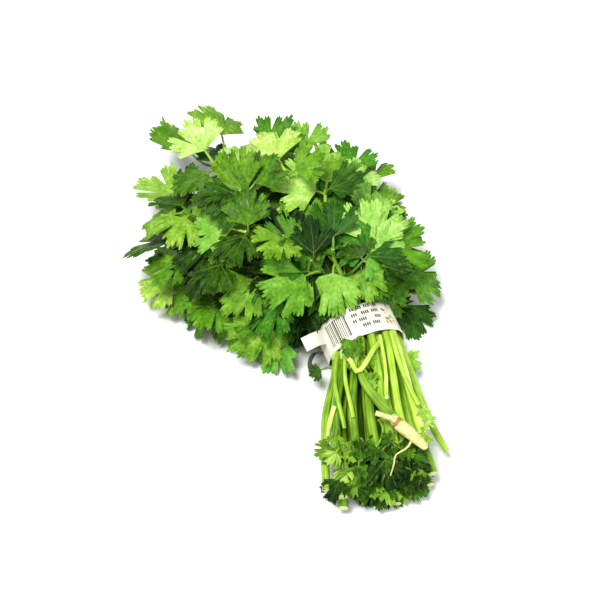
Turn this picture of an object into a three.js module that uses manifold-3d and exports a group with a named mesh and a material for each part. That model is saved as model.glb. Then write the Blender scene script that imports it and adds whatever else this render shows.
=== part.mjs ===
// A bunch of fresh cilantro, tied with a white paper band and lying on its side.
// Millimetres, +Z up. The origin is on the surface that the bunch lies on, under the middle of the band.
// The cut ends of the stems point along -Y, and the leaves spread towards +Y and over to -X.

import * as THREE from "three";
import { mergeVertices } from "three/addons/utils/BufferGeometryUtils.js";
import Module from "manifold-3d";

const wasm = await Module();
wasm.setup();

// The paper band: an oval ring that lies flat on the surface, turned a little about Z.
const BAND_WIDTH = 21;
const BAND_THICKNESS = 0.8;
const BAND_HALF_SPAN = 22.8;
const BAND_HALF_RISE = 19;
const BAND_CENTRE_HEIGHT = 17;
const BAND_TURN = THREE.MathUtils.degToRad(15);
const BAND_SIDES = 32;
const BAND_CLEARANCE = 0.3;

// The loose end of the band, a narrow strip that curls down on the left of the bunch.
const TAIL_WIDTH = 4.2;
const TAIL_THICKNESS = 0.9;
const TAIL_STEPS = 16;
const TAIL_ROUTE = [
  [-22.1, -5, 13.5],
  [-26, -3.5, 14.5],
  [-29.5, -5.5, 12],
  [-30.5, -10.5, 8],
  [-28.5, -15, 4.5],
  [-26, -17.5, 3],
];

// The stems: rows of round stalks packed side by side inside the band.
const STEM_SPACING = 6.1;
const STEM_RADIUS = 2.3;
const STEM_RADIUS_SPREAD = 0.35;
const STEM_TIP_RADIUS = 1;
const STEM_CUT_SWELL = 1.14;
const STEM_SIDES = 5;
const STEM_GAP = 0.45;
const STEM_JITTER = 1.3;
const PACKING_ROUNDS = 160;
const SPREADING_ROUNDS = 80;
const MIDDLE_CUT = 83;
const CUT_LONGER_BELOW = 13;
const CUT_LONGER_LEFT = 5;
const CUT_SPREAD = 3;
const BRANCHING_STEPS = 5;

// The bundle's oval cross-section behind the cut ends and half way to the band.
const REAR_SECTION = {
  centre: new THREE.Vector3(2, -100, 19),
  halfSpan: 36,
  halfRise: 18.5,
  floor: 0,
};
const MIDDLE_SECTION = {
  centre: new THREE.Vector3(1, -50, 18.5),
  halfSpan: 29.5,
  halfRise: 18.5,
  floor: 0.2,
};

// The head of leaves: a mound that the stems fan out to from the band.
// Its reach is given every 30 degrees round its centre, anticlockwise from +X.
// It ends where the last leaflets start.
const HEAD_CENTRE = new THREE.Vector3(-40, 68, 36);
const HEAD_RISE = 38;
const HEAD_REACH = [50, 56, 54, 42, 60, 64, 67, 58, 51, 48, 54, 76];
const HEAD_AXIS = new THREE.Vector3(-0.479, 0.878, 0);
const HEAD_WIDEST_ANGLE = THREE.MathUtils.degToRad(145);
const FAN_POINT = new THREE.Vector3(-12, 24, 24);
const LOWEST_TIP = 3.2;

// A leaflet: three lobes with teeth. Radii are shares of its length.
// Angles are in degrees off its midrib.
const LEAFLET_LENGTH = 25.5;
const BLADE_THICKNESS = 0.7;
const TOOTH_STEP = 16;
const TOOTH_RADII = [1.0, 0.93, 0.92, 0.85, 0.66];
const NOTCH_SHARE = 0.86;
const CLEFT_RADIUS = 0.47;
const BASE_CORNER_ANGLE = 68;
const BASE_CORNER_RADIUS = 0.28;
const INNER_ANGLES = [-44, 0, 44];
const INNER_RADII = [0.4, 0.44, 0.4];
const STALK_WIDTH = 1.8;
const STALK_THICKNESS = 1.2;

// Where the leaflets of a stem sit: three at its tip and two lower down.
// Angles are in degrees, lengths in millimetres.
const END_SLOTS = [
  { index: 0, angle: 0, at: 0.98, stalk: 8, lift: 1, size: 1 },
  { index: 1, angle: 66, at: 0.96, stalk: 6, lift: 0, size: 0.92 },
  { index: 2, angle: -66, at: 0.96, stalk: 6, lift: 0, size: 0.92 },
];
const SIDE_SLOTS = [
  { index: 3, angle: 42, at: 0.66, stalk: 14, lift: 9, size: 1 },
  { index: 4, angle: -38, at: 0.44, stalk: 15, lift: 13, size: 0.95 },
];

// Leaflets that give the bunch its outline, over the band, at the cut ends and round the mound:
// where the blade starts, which way it points in degrees from +X, its length and how it leans.
const SINGLE_LEAVES = [
  { base: [30, 22, 9], heading: -82, length: 26, tilt: [0.1, 0] },
  { base: [22, -14, 14], heading: -35, length: 12, tilt: [0.3, -0.2] },
  { base: [-23, -18, 14], heading: 215, length: 10, tilt: [-0.3, -0.2] },
  { base: [-12, -82, 27], heading: 262, length: 17, tilt: [-0.1, -0.95] },
  { base: [2, -81, 28], heading: 268, length: 18, tilt: [0, -0.95] },
  { base: [14, -79, 26], heading: 280, length: 18, tilt: [0.1, -0.95] },
  { base: [-22, -84, 10], heading: 240, length: 12, tilt: [-0.1, -0.95] },
  { base: [-2, -87, 15], heading: 268, length: 16, tilt: [0, -0.8] },
  { base: [22, -78, 7], heading: 285, length: 12, tilt: [0.1, -0.95] },
  { base: [-22, -70, 24], heading: 215, length: 13, tilt: [-0.5, -0.3] },
  { base: [-6, -17, 42], heading: 235, length: 11, tilt: [0, 0] },
  { base: [-13, 25, 46], heading: 262, length: 24, tilt: [-0.1, -0.3] },
  { base: [3, 27, 45], heading: 278, length: 23, tilt: [0.1, -0.3] },
  { base: [16, 27, 38], heading: 300, length: 23, tilt: [0.3, -0.3] },
  { base: [-29, 20, 36], heading: 245, length: 24, tilt: [-0.3, -0.3] },
  { base: [31, 29, 28], heading: -5, length: 23, tilt: [0.4, -0.2] },
  { base: [-35, 20, 10], heading: 240, length: 21, tilt: [-0.1, -0.1] },
  { base: [-55, 23, 12], heading: 226, length: 21, tilt: [-0.1, -0.1] },
  { base: [-101, 45, 22], heading: 187, length: 27, tilt: [-0.2, -0.2] },
  { base: [-92, 45, 18], heading: 225, length: 24, tilt: [-0.2, -0.2] },
  { base: [-102, 60, 38], heading: 168, length: 26, tilt: [-0.1, 0.9] },
  { base: [-90, 94, 30], heading: 165, length: 22, tilt: [-0.3, 0] },
  { base: [-86, 128, 32], heading: 118, length: 30, tilt: [0.5, 0.3] },
  { base: [-67, 122, 54], heading: 97, length: 28, tilt: [0.6, 0] },
  { base: [6, 100, 37], heading: 90, length: 27, tilt: [0.1, 0] },
  { base: [19, 97, 31], heading: 90, length: 24, tilt: [0.2, 0] },
  { base: [-57, 68, 69], heading: 112, length: 24, tilt: [-0.3, -0.9] },
];

// How a leaflet is tried until it clears its neighbours.
const TRIES = 40;
const TRY_CLEARANCE = 0.4;
const GROUND_DIP = 7;
const SINGLE_STALK = 6;
const STRAIGHTEST_STALK = 0.3;

// The one plant that still has its root: its stem crosses over the bundle and ends in a pale taproot.
// The routes of the root, of its thin rootlet and of the old leaf stub start from the crown.
const ROOTED_MIDDLE = new THREE.Vector3(-4, -38, 37);
const CROWN = new THREE.Vector3(7.5, -63, 40);
const CROWN_GAP = 0.3;
const CROWN_LENGTH = 2;
const ROOT_ROUTE = [
  [3.9, -5.6, 0],
  [7.8, -9.8, -0.5],
  [11.8, -13.9, -2],
  [14.4, -16.8, -3],
];
const ROOT_RADII = [2.9, 3.3, 3.9, 3.7, 3.2, 2.4];
const ROOT_SIDES = 8;
const ROOTLET_ROUTE = [
  [9, -11.5, -1.5],
  [5.5, -16.5, -2.5],
  [-0.5, -19, -5],
  [-2, -22.5, -9],
  [-4, -26.5, -13],
];
const ROOTLET_RADII = [0.9, 0.6, 0.5, 0.5, 0.4];
const STUB_ROUTE = [
  [1.2, -3, 1.5],
  [-2.5, -1.8, 4.2],
  [-9, 0.6, 5.5],
];
const STUB_RADII = [1.9, 1.7, 1.6];

// A young stem that is folded back over the others, and a stem that strays out on the right.
const FOLDED_ROUTE = [
  [8.5, -12.5, 31],
  [2, -23, 38],
  [-6, -34.5, 39],
  [-9.5, -27, 39],
  [-13, -19.5, 38],
];
const FOLDED_RADIUS = 1.5;
const FOLDED_STEPS = 12;
const STRAY_MIDDLE = new THREE.Vector3(29, -50, 15);
const STRAY_END = new THREE.Vector3(38, -71, 9);
const STRAY_END_RADIUS = 1.5;

// Union leaves tiny slivers where a stalk enters a stem.
// Corners closer to a straight edge than this are dropped.
const SLIVER = 0.02;

const RANDOM_MULTIPLIER = 16807;
const RANDOM_MODULUS = 2147483647;
const UP = new THREE.Vector3(0, 0, 1);
const BAND_ALONG = new THREE.Vector3(-Math.sin(BAND_TURN), Math.cos(BAND_TURN), 0);
const BAND_ACROSS = new THREE.Vector3(Math.cos(BAND_TURN), Math.sin(BAND_TURN), 0);

// Repeatable numbers from -1 to 1 for one stem or leaflet.
function draws(kind, item, attempt, count) {
  let state = (1 + kind * 7919 + item * 104729 + attempt * 15485863) % RANDOM_MODULUS;
  const numbers = [];
  for (let n = 0; n < count + 4; n += 1) {
    state = (state * RANDOM_MULTIPLIER) % RANDOM_MODULUS;
    numbers.push((2 * state) / RANDOM_MODULUS - 1);
  }
  return numbers.slice(4);
}

function solidFrom(geometry) {
  const bare = geometry.clone();
  bare.deleteAttribute("normal");
  bare.deleteAttribute("uv");
  const merged = mergeVertices(bare, 1e-4);
  return new wasm.Manifold(
    new wasm.Mesh({
      numProp: 3,
      vertProperties: new Float32Array(merged.attributes.position.array),
      triVerts: new Uint32Array(merged.index.array),
    }),
  );
}

function geometryFrom(solid) {
  const mesh = solid.getMesh();
  const geometry = new THREE.BufferGeometry();
  geometry.setAttribute("position", new THREE.BufferAttribute(mesh.vertProperties, 3));
  geometry.setIndex(new THREE.BufferAttribute(mesh.triVerts, 1));
  geometry.computeVertexNormals();
  return geometry;
}

function indexedGeometry(points, triangles) {
  const geometry = new THREE.BufferGeometry();
  const numbers = points.flatMap((point) => [point.x, point.y, point.z]);
  geometry.setAttribute("position", new THREE.Float32BufferAttribute(numbers, 3));
  geometry.setIndex(triangles.flat());
  return geometry;
}

function spotsFrom(rows) {
  return rows.map((row) => new THREE.Vector3(...row));
}

// A round stalk that narrows along its centreline: a ring of corners at each point and a cap at each end.
function stalk(centres, radii, sides) {
  const path = new THREE.CatmullRomCurve3(centres);
  const steps = centres.length - 1;
  path.getUtoTmapping = (u) => u;
  const frames = path.computeFrenetFrames(steps, false);
  const points = [];
  const triangles = [];
  centres.forEach((centre, ring) => {
    for (let side = 0; side < sides; side += 1) {
      const angle = (2 * Math.PI * side) / sides;
      points.push(
        centre
          .clone()
          .addScaledVector(frames.normals[ring], radii[ring] * Math.cos(angle))
          .addScaledVector(frames.binormals[ring], radii[ring] * Math.sin(angle)),
      );
    }
  });
  for (let ring = 0; ring < steps; ring += 1) {
    for (let side = 0; side < sides; side += 1) {
      const a = ring * sides + side;
      const b = ring * sides + ((side + 1) % sides);
      triangles.push([a, b, b + sides], [a, b + sides, a + sides]);
    }
  }
  for (let side = 1; side < sides - 1; side += 1) {
    const last = steps * sides;
    triangles.push([0, side + 1, side], [last, last + side, last + side + 1]);
  }
  return solidFrom(indexedGeometry(points, triangles));
}

// A leaflet's edge, from one corner at its base round every tooth and notch to the other.
function leafletEdge() {
  const last = TOOTH_RADII.length - 1;
  const edge = [[-BASE_CORNER_ANGLE, BASE_CORNER_RADIUS]];
  for (let tooth = -last; tooth <= last; tooth += 1) {
    const here = Math.abs(tooth);
    const next = Math.abs(tooth + 1);
    edge.push([tooth * TOOTH_STEP, TOOTH_RADII[here]]);
    if (tooth === last) break;
    const betweenLobes = here + next === 3;
    const notch = (NOTCH_SHARE * (TOOTH_RADII[here] + TOOTH_RADII[next])) / 2;
    edge.push([(tooth + 0.5) * TOOTH_STEP, betweenLobes ? CLEFT_RADIUS : notch]);
  }
  edge.push([BASE_CORNER_ANGLE, BASE_CORNER_RADIUS]);
  return edge;
}

// One face of a leaflet with its flat stalk.
// It has root corners, neck corners, a point in each lobe, and the edge.
function leafletFace() {
  const inner = INNER_ANGLES.map((angle, n) => [angle, INNER_RADII[n]]);
  const edge = leafletEdge();
  const [rootRight, rootLeft, neckRight, neckLeft, firstInner] = [0, 1, 2, 3, 4];
  const lastInner = firstInner + inner.length - 1;
  const middle = (firstInner + lastInner) / 2;
  const firstEdge = lastInner + 1;
  const lastEdge = firstEdge + edge.length - 1;
  const triangles = [
    [rootRight, neckRight, neckLeft],
    [rootRight, neckLeft, rootLeft],
    [neckRight, middle, neckLeft],
    [neckRight, firstEdge, firstInner],
    [neckLeft, lastInner, lastEdge],
  ];
  for (let n = firstInner; n < lastInner; n += 1) {
    triangles.push([n < middle ? neckRight : neckLeft, n, n + 1]);
  }
  let nearest = firstInner;
  for (let n = 0; n + 1 < edge.length; n += 1) {
    triangles.push([nearest, firstEdge + n, firstEdge + n + 1]);
    const atCleft = edge[n + 1][1] === CLEFT_RADIUS;
    if (atCleft) {
      triangles.push([nearest, firstEdge + n + 1, nearest + 1]);
      nearest += 1;
    }
  }
  const rim = [rootRight, neckRight];
  for (let n = firstEdge; n <= lastEdge; n += 1) rim.push(n);
  rim.push(neckLeft, rootLeft);
  return { spots: [...inner, ...edge], triangles, rim };
}

const FACE = leafletFace();

// The blade's middle surface at an angle and radius, raised by its fold, its droop and its wave.
function bladePoint(leaf, angleDegrees, share) {
  const angle = THREE.MathUtils.degToRad(angleDegrees);
  const along = share * Math.cos(angle);
  const across = share * Math.sin(angle) * leaf.breadth;
  const rise =
    leaf.fold * Math.abs(across) -
    leaf.droop * along * along +
    leaf.wave * share * share * Math.sin(3 * angle + leaf.phase);
  return leaf.base
    .clone()
    .addScaledVector(leaf.along, along * leaf.length)
    .addScaledVector(leaf.across, across * leaf.length)
    .addScaledVector(leaf.normal, rise * leaf.length);
}

// A thin leaflet as a closed solid. What would go below the surface is bent up to lie on it.
function leafletSolid(leaf, grown) {
  const halfStalk = STALK_WIDTH / 2 + grown;
  const upper = [];
  const lower = [];
  const add = (middle, facing, halfThickness) => {
    const over = middle.clone().addScaledVector(facing, halfThickness);
    const under = middle.clone().addScaledVector(facing, -halfThickness);
    const lift = Math.max(0, -Math.min(over.z, under.z));
    over.z += lift;
    under.z += lift;
    upper.push(over);
    lower.push(under);
  };
  const stalkAlong = leaf.base.clone().sub(leaf.root).normalize();
  const stalkNormal = leaf.normal.clone();
  stalkNormal.addScaledVector(stalkAlong, -stalkNormal.dot(stalkAlong)).normalize();
  const stalkAcross = new THREE.Vector3().crossVectors(stalkNormal, stalkAlong);
  for (const side of [-1, 1]) {
    const corner = leaf.root.clone().addScaledVector(stalkAcross, side * halfStalk);
    add(corner, stalkNormal, STALK_THICKNESS / 2 + grown);
  }
  for (const side of [-1, 1]) {
    const corner = leaf.base.clone().addScaledVector(leaf.across, side * halfStalk);
    add(corner, leaf.normal, STALK_THICKNESS / 2 + grown);
  }
  for (const [angle, share] of FACE.spots) {
    add(bladePoint(leaf, angle, share), leaf.normal, BLADE_THICKNESS / 2 + grown);
  }
  const count = upper.length;
  const triangles = [];
  for (const [a, b, c] of FACE.triangles) {
    triangles.push([a, b, c], [a + count, c + count, b + count]);
  }
  FACE.rim.forEach((a, n) => {
    const b = FACE.rim[(n + 1) % FACE.rim.length];
    triangles.push([a, a + count, b + count], [a, b + count, b]);
  });
  return solidFrom(indexedGeometry([...upper, ...lower], triangles));
}

// The bundle's cross-section at four places along it:
// behind the cut ends, half way, and at both edges of the band.
function crossSections() {
  const inset = BAND_THICKNESS + BAND_CLEARANCE;
  const edge = BAND_WIDTH / 2 + 1;
  const middle = new THREE.Vector3(0, 0, BAND_CENTRE_HEIGHT);
  const inBand = {
    halfSpan: BAND_HALF_SPAN - inset,
    halfRise: BAND_HALF_RISE - inset,
    floor: inset,
    across: BAND_ACROSS,
    swell: 1,
    jitter: 0.6,
  };
  const loose = { across: new THREE.Vector3(1, 0, 0), swell: STEM_CUT_SWELL };
  return [
    { ...REAR_SECTION, ...loose, jitter: 1.3 },
    { ...MIDDLE_SECTION, ...loose, jitter: 1 },
    { ...inBand, centre: middle.clone().addScaledVector(BAND_ALONG, -edge) },
    { ...inBand, centre: middle.clone().addScaledVector(BAND_ALONG, edge) },
  ];
}

// Stems in hexagonal rows, as places from -1 to 1 across and up the oval bundle.
function stemRows() {
  const halfSpan = BAND_HALF_SPAN - BAND_THICKNESS - STEM_RADIUS;
  const halfRise = BAND_HALF_RISE - BAND_THICKNESS - STEM_RADIUS;
  const rowRise = STEM_SPACING * Math.sin(Math.PI / 3);
  const rows = Math.floor((2 * halfRise) / rowRise);
  const places = [];
  for (let row = 0; row <= rows; row += 1) {
    const up = (row - rows / 2) * rowRise;
    const share = Math.sqrt(Math.max(0, 1 - (up / halfRise) ** 2));
    const inRow = Math.max(2, Math.round((2 * halfSpan * share) / STEM_SPACING) + (row % 2));
    for (let n = 0; n < inRow; n += 1) {
      const across = (n - (inRow - 1) / 2) * STEM_SPACING;
      const reach = Math.hypot(across / halfSpan, up / halfRise);
      const inside = Math.min(1, 1 / Math.max(reach, 1e-6));
      places.push([(across / halfSpan) * inside, (up / halfRise) * inside]);
    }
  }
  return places;
}

// Pushes the round stems of one cross-section apart until none overlaps, and keeps them inside its oval.
function settle(section, places, thickness) {
  const radii = thickness.map((radius) => radius * section.swell);
  const slide = STEM_JITTER * section.jitter;
  const spots = places.map(([across, up], n) => {
    const [slideAcross, slideUp] = draws(1, n, 0, 2);
    return [
      across * (section.halfSpan - radii[n]) + slide * slideAcross,
      up * (section.halfRise - radii[n]) + slide * slideUp,
    ];
  });
  for (let round = 0; round < PACKING_ROUNDS; round += 1) {
    for (let a = 0; a < spots.length; a += 1) {
      for (let b = a + 1; b < spots.length; b += 1) {
        const dx = spots[b][0] - spots[a][0];
        const dz = spots[b][1] - spots[a][1];
        const distance = Math.hypot(dx, dz);
        const push = (radii[a] + radii[b] + STEM_GAP - distance) / 2;
        if (push <= 0) continue;
        spots[a][0] -= (dx / distance) * push;
        spots[a][1] -= (dz / distance) * push;
        spots[b][0] += (dx / distance) * push;
        spots[b][1] += (dz / distance) * push;
      }
    }
    spots.forEach((spot, n) => {
      const reach = Math.hypot(
        spot[0] / (section.halfSpan - radii[n]),
        spot[1] / (section.halfRise - radii[n]),
      );
      const keep = reach > 1 ? 1 / reach : 1;
      spot[0] *= keep;
      spot[1] = Math.max(spot[1] * keep, section.floor + radii[n] - section.centre.z);
    });
  }
  return spots.map(([across, up]) =>
    section.centre.clone().addScaledVector(section.across, across).addScaledVector(UP, up),
  );
}

// The shares along two straight pieces at which they come closest.
function closestShares(a, b, c, d) {
  const along = b.clone().sub(a);
  const other = d.clone().sub(c);
  const between = a.clone().sub(c);
  const aa = along.dot(along);
  const bb = other.dot(other);
  const ab = along.dot(other);
  const ac = along.dot(between);
  const bc = other.dot(between);
  const spread = aa * bb - ab * ab;
  const first = spread > 1e-6 ? THREE.MathUtils.clamp((ab * bc - ac * bb) / spread, 0, 1) : 0.5;
  const second = THREE.MathUtils.clamp((ab * first + bc) / bb, 0, 1);
  return [THREE.MathUtils.clamp((ab * second - ac) / aa, 0, 1), second];
}

function apartOnAxis(a, b, c, d, need) {
  return Math.min(a, b) - need > Math.max(c, d) || Math.min(c, d) - need > Math.max(a, b);
}

// Moves two stems apart wherever they come too close, and counts those places.
function parted(one, two) {
  let moved = 0;
  for (let i = 0; i + 1 < one.centres.length; i += 1) {
    const [a, b] = [one.centres[i], one.centres[i + 1]];
    for (let j = 0; j + 1 < two.centres.length; j += 1) {
      const [c, d] = [two.centres[j], two.centres[j + 1]];
      const need =
        Math.max(one.thickness[i], one.thickness[i + 1]) +
        Math.max(two.thickness[j], two.thickness[j + 1]) +
        STEM_GAP;
      if (apartOnAxis(a.x, b.x, c.x, d.x, need) || apartOnAxis(a.y, b.y, c.y, d.y, need)) continue;
      const [s, t] = closestShares(a, b, c, d);
      const push = a.clone().lerp(b, s).sub(c.clone().lerp(d, t));
      const distance = Math.max(push.length(), 1e-6);
      if (distance >= need) continue;
      push.multiplyScalar((need - distance) / distance / 2);
      a.addScaledVector(push, 1 - s);
      b.addScaledVector(push, s);
      c.addScaledVector(push, t - 1);
      d.addScaledVector(push, -t);
      moved += 1;
    }
  }
  return moved;
}

function holdInBand(centre, radius) {
  const inset = BAND_THICKNESS + BAND_CLEARANCE + radius;
  const across = centre.dot(BAND_ACROSS);
  const up = centre.z - BAND_CENTRE_HEIGHT;
  const reach = Math.hypot(across / (BAND_HALF_SPAN - inset), up / (BAND_HALF_RISE - inset));
  const keep = reach > 1 ? 1 / reach : 1;
  centre.addScaledVector(BAND_ACROSS, across * (keep - 1));
  centre.z = Math.max(BAND_CENTRE_HEIGHT + up * keep, inset);
}

// Pushes whole centrelines apart until no two stems come closer than their thickness and a small gap.
function spreadApart(stems) {
  for (let round = 0; round < SPREADING_ROUNDS; round += 1) {
    let moved = 0;
    for (let m = 0; m < stems.length; m += 1) {
      for (let n = m + 1; n < stems.length; n += 1) moved += parted(stems[m], stems[n]);
    }
    for (const { centres, thickness } of stems) {
      centres.forEach((centre, n) => {
        centre.z = Math.max(centre.z, thickness[n]);
      });
      holdInBand(centres[2], thickness[2]);
      holdInBand(centres[3], thickness[3]);
    }
    if (moved === 0) break;
  }
}

// How far the mound reaches from its centre towards an angle about Z.
function headReach(angle) {
  const turns = (angle / (2 * Math.PI) + 1) % 1;
  const place = turns * HEAD_REACH.length;
  const from = Math.floor(place) % HEAD_REACH.length;
  const share = place - Math.floor(place);
  return THREE.MathUtils.lerp(HEAD_REACH[from], HEAD_REACH[(from + 1) % HEAD_REACH.length], share);
}

// Where a stem's leaves sit on the mound.
// The middle stems reach the far side, and the outer ones bend back near the band.
function headSpot(place, n) {
  const [across, up] = place;
  const ring = Math.min(1, Math.hypot(across, up));
  const turn = Math.atan2(up, across);
  const bend = Math.acos(1 - ring * ring * (1 - Math.cos(HEAD_WIDEST_ANGLE)));
  const [reachDraw, slideX, slideY] = draws(2, n, 0, 3);
  const right = new THREE.Vector3(HEAD_AXIS.y, -HEAD_AXIS.x, 0);
  const direction = HEAD_AXIS.clone()
    .multiplyScalar(Math.cos(bend))
    .addScaledVector(right, Math.sin(bend) * Math.cos(turn))
    .addScaledVector(UP, Math.sin(bend) * Math.sin(turn));
  const reach = headReach(Math.atan2(direction.y, direction.x));
  const radii = new THREE.Vector3(reach, reach, HEAD_RISE);
  const spot = HEAD_CENTRE.clone().addScaledVector(
    direction.clone().multiply(radii),
    0.92 + 0.08 * reachDraw,
  );
  spot.x += 3 * slideX;
  spot.y += 3 * slideY;
  spot.z = Math.max(spot.z, LOWEST_TIP);
  return { spot, outward: direction.divide(radii).normalize() };
}

// Every stem: its centreline from the cut end through the band to the leaves, and its thickness along it.
function growStems() {
  const places = stemRows();
  const radii = places.map((place, n) => STEM_RADIUS + STEM_RADIUS_SPREAD * draws(3, n, 0, 1)[0]);
  const [rear, middle, bandLow, bandHigh] = crossSections().map((section) =>
    settle(section, places, radii),
  );
  const stems = places.map(([across, up], n) => {
    const cut =
      MIDDLE_CUT - CUT_LONGER_BELOW * up - CUT_LONGER_LEFT * across + CUT_SPREAD * draws(4, n, 0, 1)[0];
    const share = (cut + middle[n].y) / (middle[n].y - rear[n].y);
    const cutEnd = middle[n].clone().lerp(rear[n], share);
    const head = headSpot([across, up], n);
    const start = bandHigh[n];
    const distance = start.distanceTo(head.spot);
    const outwards = head.spot
      .clone()
      .sub(FAN_POINT)
      .normalize()
      .multiplyScalar(0.65)
      .addScaledVector(head.outward, 0.35)
      .normalize();
    const curve = new THREE.CubicBezierCurve3(
      start,
      start.clone().addScaledVector(BAND_ALONG, distance * 0.3),
      head.spot.clone().addScaledVector(outwards, -distance * 0.32),
      head.spot,
    );
    const centres = [cutEnd, middle[n].clone(), bandLow[n].clone(), ...curve.getPoints(BRANCHING_STEPS)];
    const radius = radii[n];
    const thickness = [radius * STEM_CUT_SWELL, radius * STEM_CUT_SWELL, radius];
    for (let step = 0; step <= BRANCHING_STEPS; step += 1) {
      thickness.push(THREE.MathUtils.lerp(radius, STEM_TIP_RADIUS, step / BRANCHING_STEPS));
    }
    return { across, up, head, outwards, centres, thickness };
  });
  const rooted = nearestPlace(stems, -0.2, 1);
  rooted.centres[0].copy(CROWN);
  rooted.centres[1].copy(ROOTED_MIDDLE);
  const stray = nearestPlace(stems, 1, -0.2);
  stray.centres[0].copy(STRAY_END);
  stray.centres[1].copy(STRAY_MIDDLE);
  stray.thickness[0] = STRAY_END_RADIUS;
  spreadApart(stems);
  return stems;
}

function nearestPlace(stems, across, up) {
  const distance = (stem) => Math.hypot(stem.across - across, stem.up - up);
  return stems.reduce((best, stem) => (distance(stem) < distance(best) ? stem : best));
}

// A point of a stem's branching part, from 0 at the band to 1 at its tip.
function stemPoint(stem, share) {
  const first = stem.centres.length - 1 - BRANCHING_STEPS;
  const step = Math.min(Math.floor(share * BRANCHING_STEPS), BRANCHING_STEPS - 1);
  const from = stem.centres[first + step];
  return from.clone().lerp(stem.centres[first + step + 1], share * BRANCHING_STEPS - step);
}

// One try at a leaflet: its root in the stem, its base, its plane and its shape.
function leafShape(numbers, root, base, heading, normal, length) {
  const [sizeDraw, foldDraw, droopDraw, waveDraw, phaseDraw] = numbers;
  const along = heading.clone().addScaledVector(normal, -heading.dot(normal)).normalize();
  const across = new THREE.Vector3().crossVectors(normal, along).normalize();
  base.z = Math.max(base.z, 1);
  return {
    root,
    base,
    along,
    across,
    normal,
    length: length * (1 + 0.12 * sizeDraw),
    breadth: 1.06 + 0.08 * waveDraw,
    fold: 0.1 + 0.16 * foldDraw,
    droop: 0.1 + 0.12 * droopDraw,
    wave: 0.06 * waveDraw,
    phase: Math.PI * phaseDraw,
  };
}

function headLeaf(stem, number, slot, attempt) {
  const ease = attempt / TRIES;
  const [turn, tiltX, tiltY, reach, liftDraw, ...shape] = draws(5, number * 8 + slot.index, attempt, 10);
  const outward = stem.head.outward.clone();
  outward.z = Math.max(outward.z, 0);
  const loose = 0.42 + 0.4 * ease;
  const normal = UP.clone()
    .multiplyScalar(0.66)
    .addScaledVector(outward, 0.5)
    .add(new THREE.Vector3(tiltX * loose, tiltY * loose, 0))
    .normalize();
  const level = stem.head.spot.clone().sub(FAN_POINT).setZ(0).normalize();
  const heading = stem.outwards.clone().addScaledVector(level, 0.7);
  heading.addScaledVector(normal, -heading.dot(normal)).normalize();
  const angle = THREE.MathUtils.degToRad(slot.angle + (10 + 20 * ease) * turn);
  heading.applyAxisAngle(normal, angle);
  const root = stemPoint(stem, slot.at);
  const base = root
    .clone()
    .addScaledVector(heading, slot.stalk * (1 + (0.2 + 0.4 * ease) * reach))
    .addScaledVector(normal, slot.lift + 6 * ease * liftDraw);
  return leafShape(shape, root, base, heading, normal, LEAFLET_LENGTH * slot.size * (1 - 0.16 * ease));
}

// The point of the nearest stem, which a single leaflet grows from.
function nearestStemPoint(stems, spot) {
  let best = { distance: Infinity };
  stems.forEach((stem, number) => {
    for (let n = 0; n + 1 < stem.centres.length; n += 1) {
      const line = new THREE.Line3(stem.centres[n], stem.centres[n + 1]);
      const share = line.closestPointToPointParameter(spot, false);
      const point = line.at(THREE.MathUtils.clamp(share, 0.06, 0.94), new THREE.Vector3());
      const distance = point.distanceTo(spot);
      if (distance < best.distance) best = { distance, number, point };
    }
  });
  return best;
}

function singleLeaf(stems, single, item, attempt) {
  const ease = attempt / TRIES;
  const [turn, tiltX, tiltY, liftDraw, slide, ...shape] = draws(6, item, attempt, 10);
  const angle = THREE.MathUtils.degToRad(single.heading + 30 * ease * turn);
  const heading = new THREE.Vector3(Math.cos(angle), Math.sin(angle), 0);
  const [leanX, leanY] = single.tilt;
  const loose = 0.1 + 0.5 * ease;
  const normal = new THREE.Vector3(leanX + tiltX * loose, leanY + tiltY * loose, 1).normalize();
  const base = new THREE.Vector3(...single.base).addScaledVector(heading, 3 * ease * slide);
  base.z += 4 * ease * liftDraw;
  const { number, point } = nearestStemPoint(stems, base.clone().addScaledVector(heading, -SINGLE_STALK));
  const leaf = leafShape(shape, point, base, heading, normal, single.length * (1 - 0.2 * ease));
  return { leaf, number };
}

function boxesMeet(a, b) {
  return [0, 1, 2].every((axis) => a.min[axis] <= b.max[axis] && b.min[axis] <= a.max[axis]);
}

function clearOf(solid, owner, placed) {
  const box = solid.boundingBox();
  return placed.every((other) => {
    if (other.stemOf === owner || !boxesMeet(box, other.box)) return true;
    const shared = solid.intersect(other.solid);
    const empty = shared.isEmpty();
    shared.delete();
    return empty;
  });
}

function dipsTooFar(leaf) {
  const lowest = Math.min(...FACE.spots.map(([angle, share]) => bladePoint(leaf, angle, share).z));
  return lowest < -GROUND_DIP || (lowest < 0 && leaf.normal.z < 0.6);
}

// A stalk has to come up to its blade from behind, not from below or from the side.
function stalkTurnsBack(leaf) {
  const stalkAlong = leaf.base.clone().sub(leaf.root).normalize();
  return stalkAlong.dot(leaf.along) < STRAIGHTEST_STALK;
}

function addPlaced(placed, solid, stemOf) {
  placed.push({ solid, stemOf, box: solid.boundingBox() });
}

// Adds a leaflet at the first try that clears everything that is there, or leaves it out.
function placeLeaflet(oneTry, placed) {
  for (let attempt = 0; attempt < TRIES; attempt += 1) {
    const { leaf, number } = oneTry(attempt);
    if (dipsTooFar(leaf) || stalkTurnsBack(leaf)) continue;
    const wide = leafletSolid(leaf, TRY_CLEARANCE);
    const clear = clearOf(wide, number, placed);
    wide.delete();
    if (clear) {
      const solid = leafletSolid(leaf, 0);
      addPlaced(placed, solid, null);
      return { solid, number };
    }
  }
  return null;
}

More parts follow.
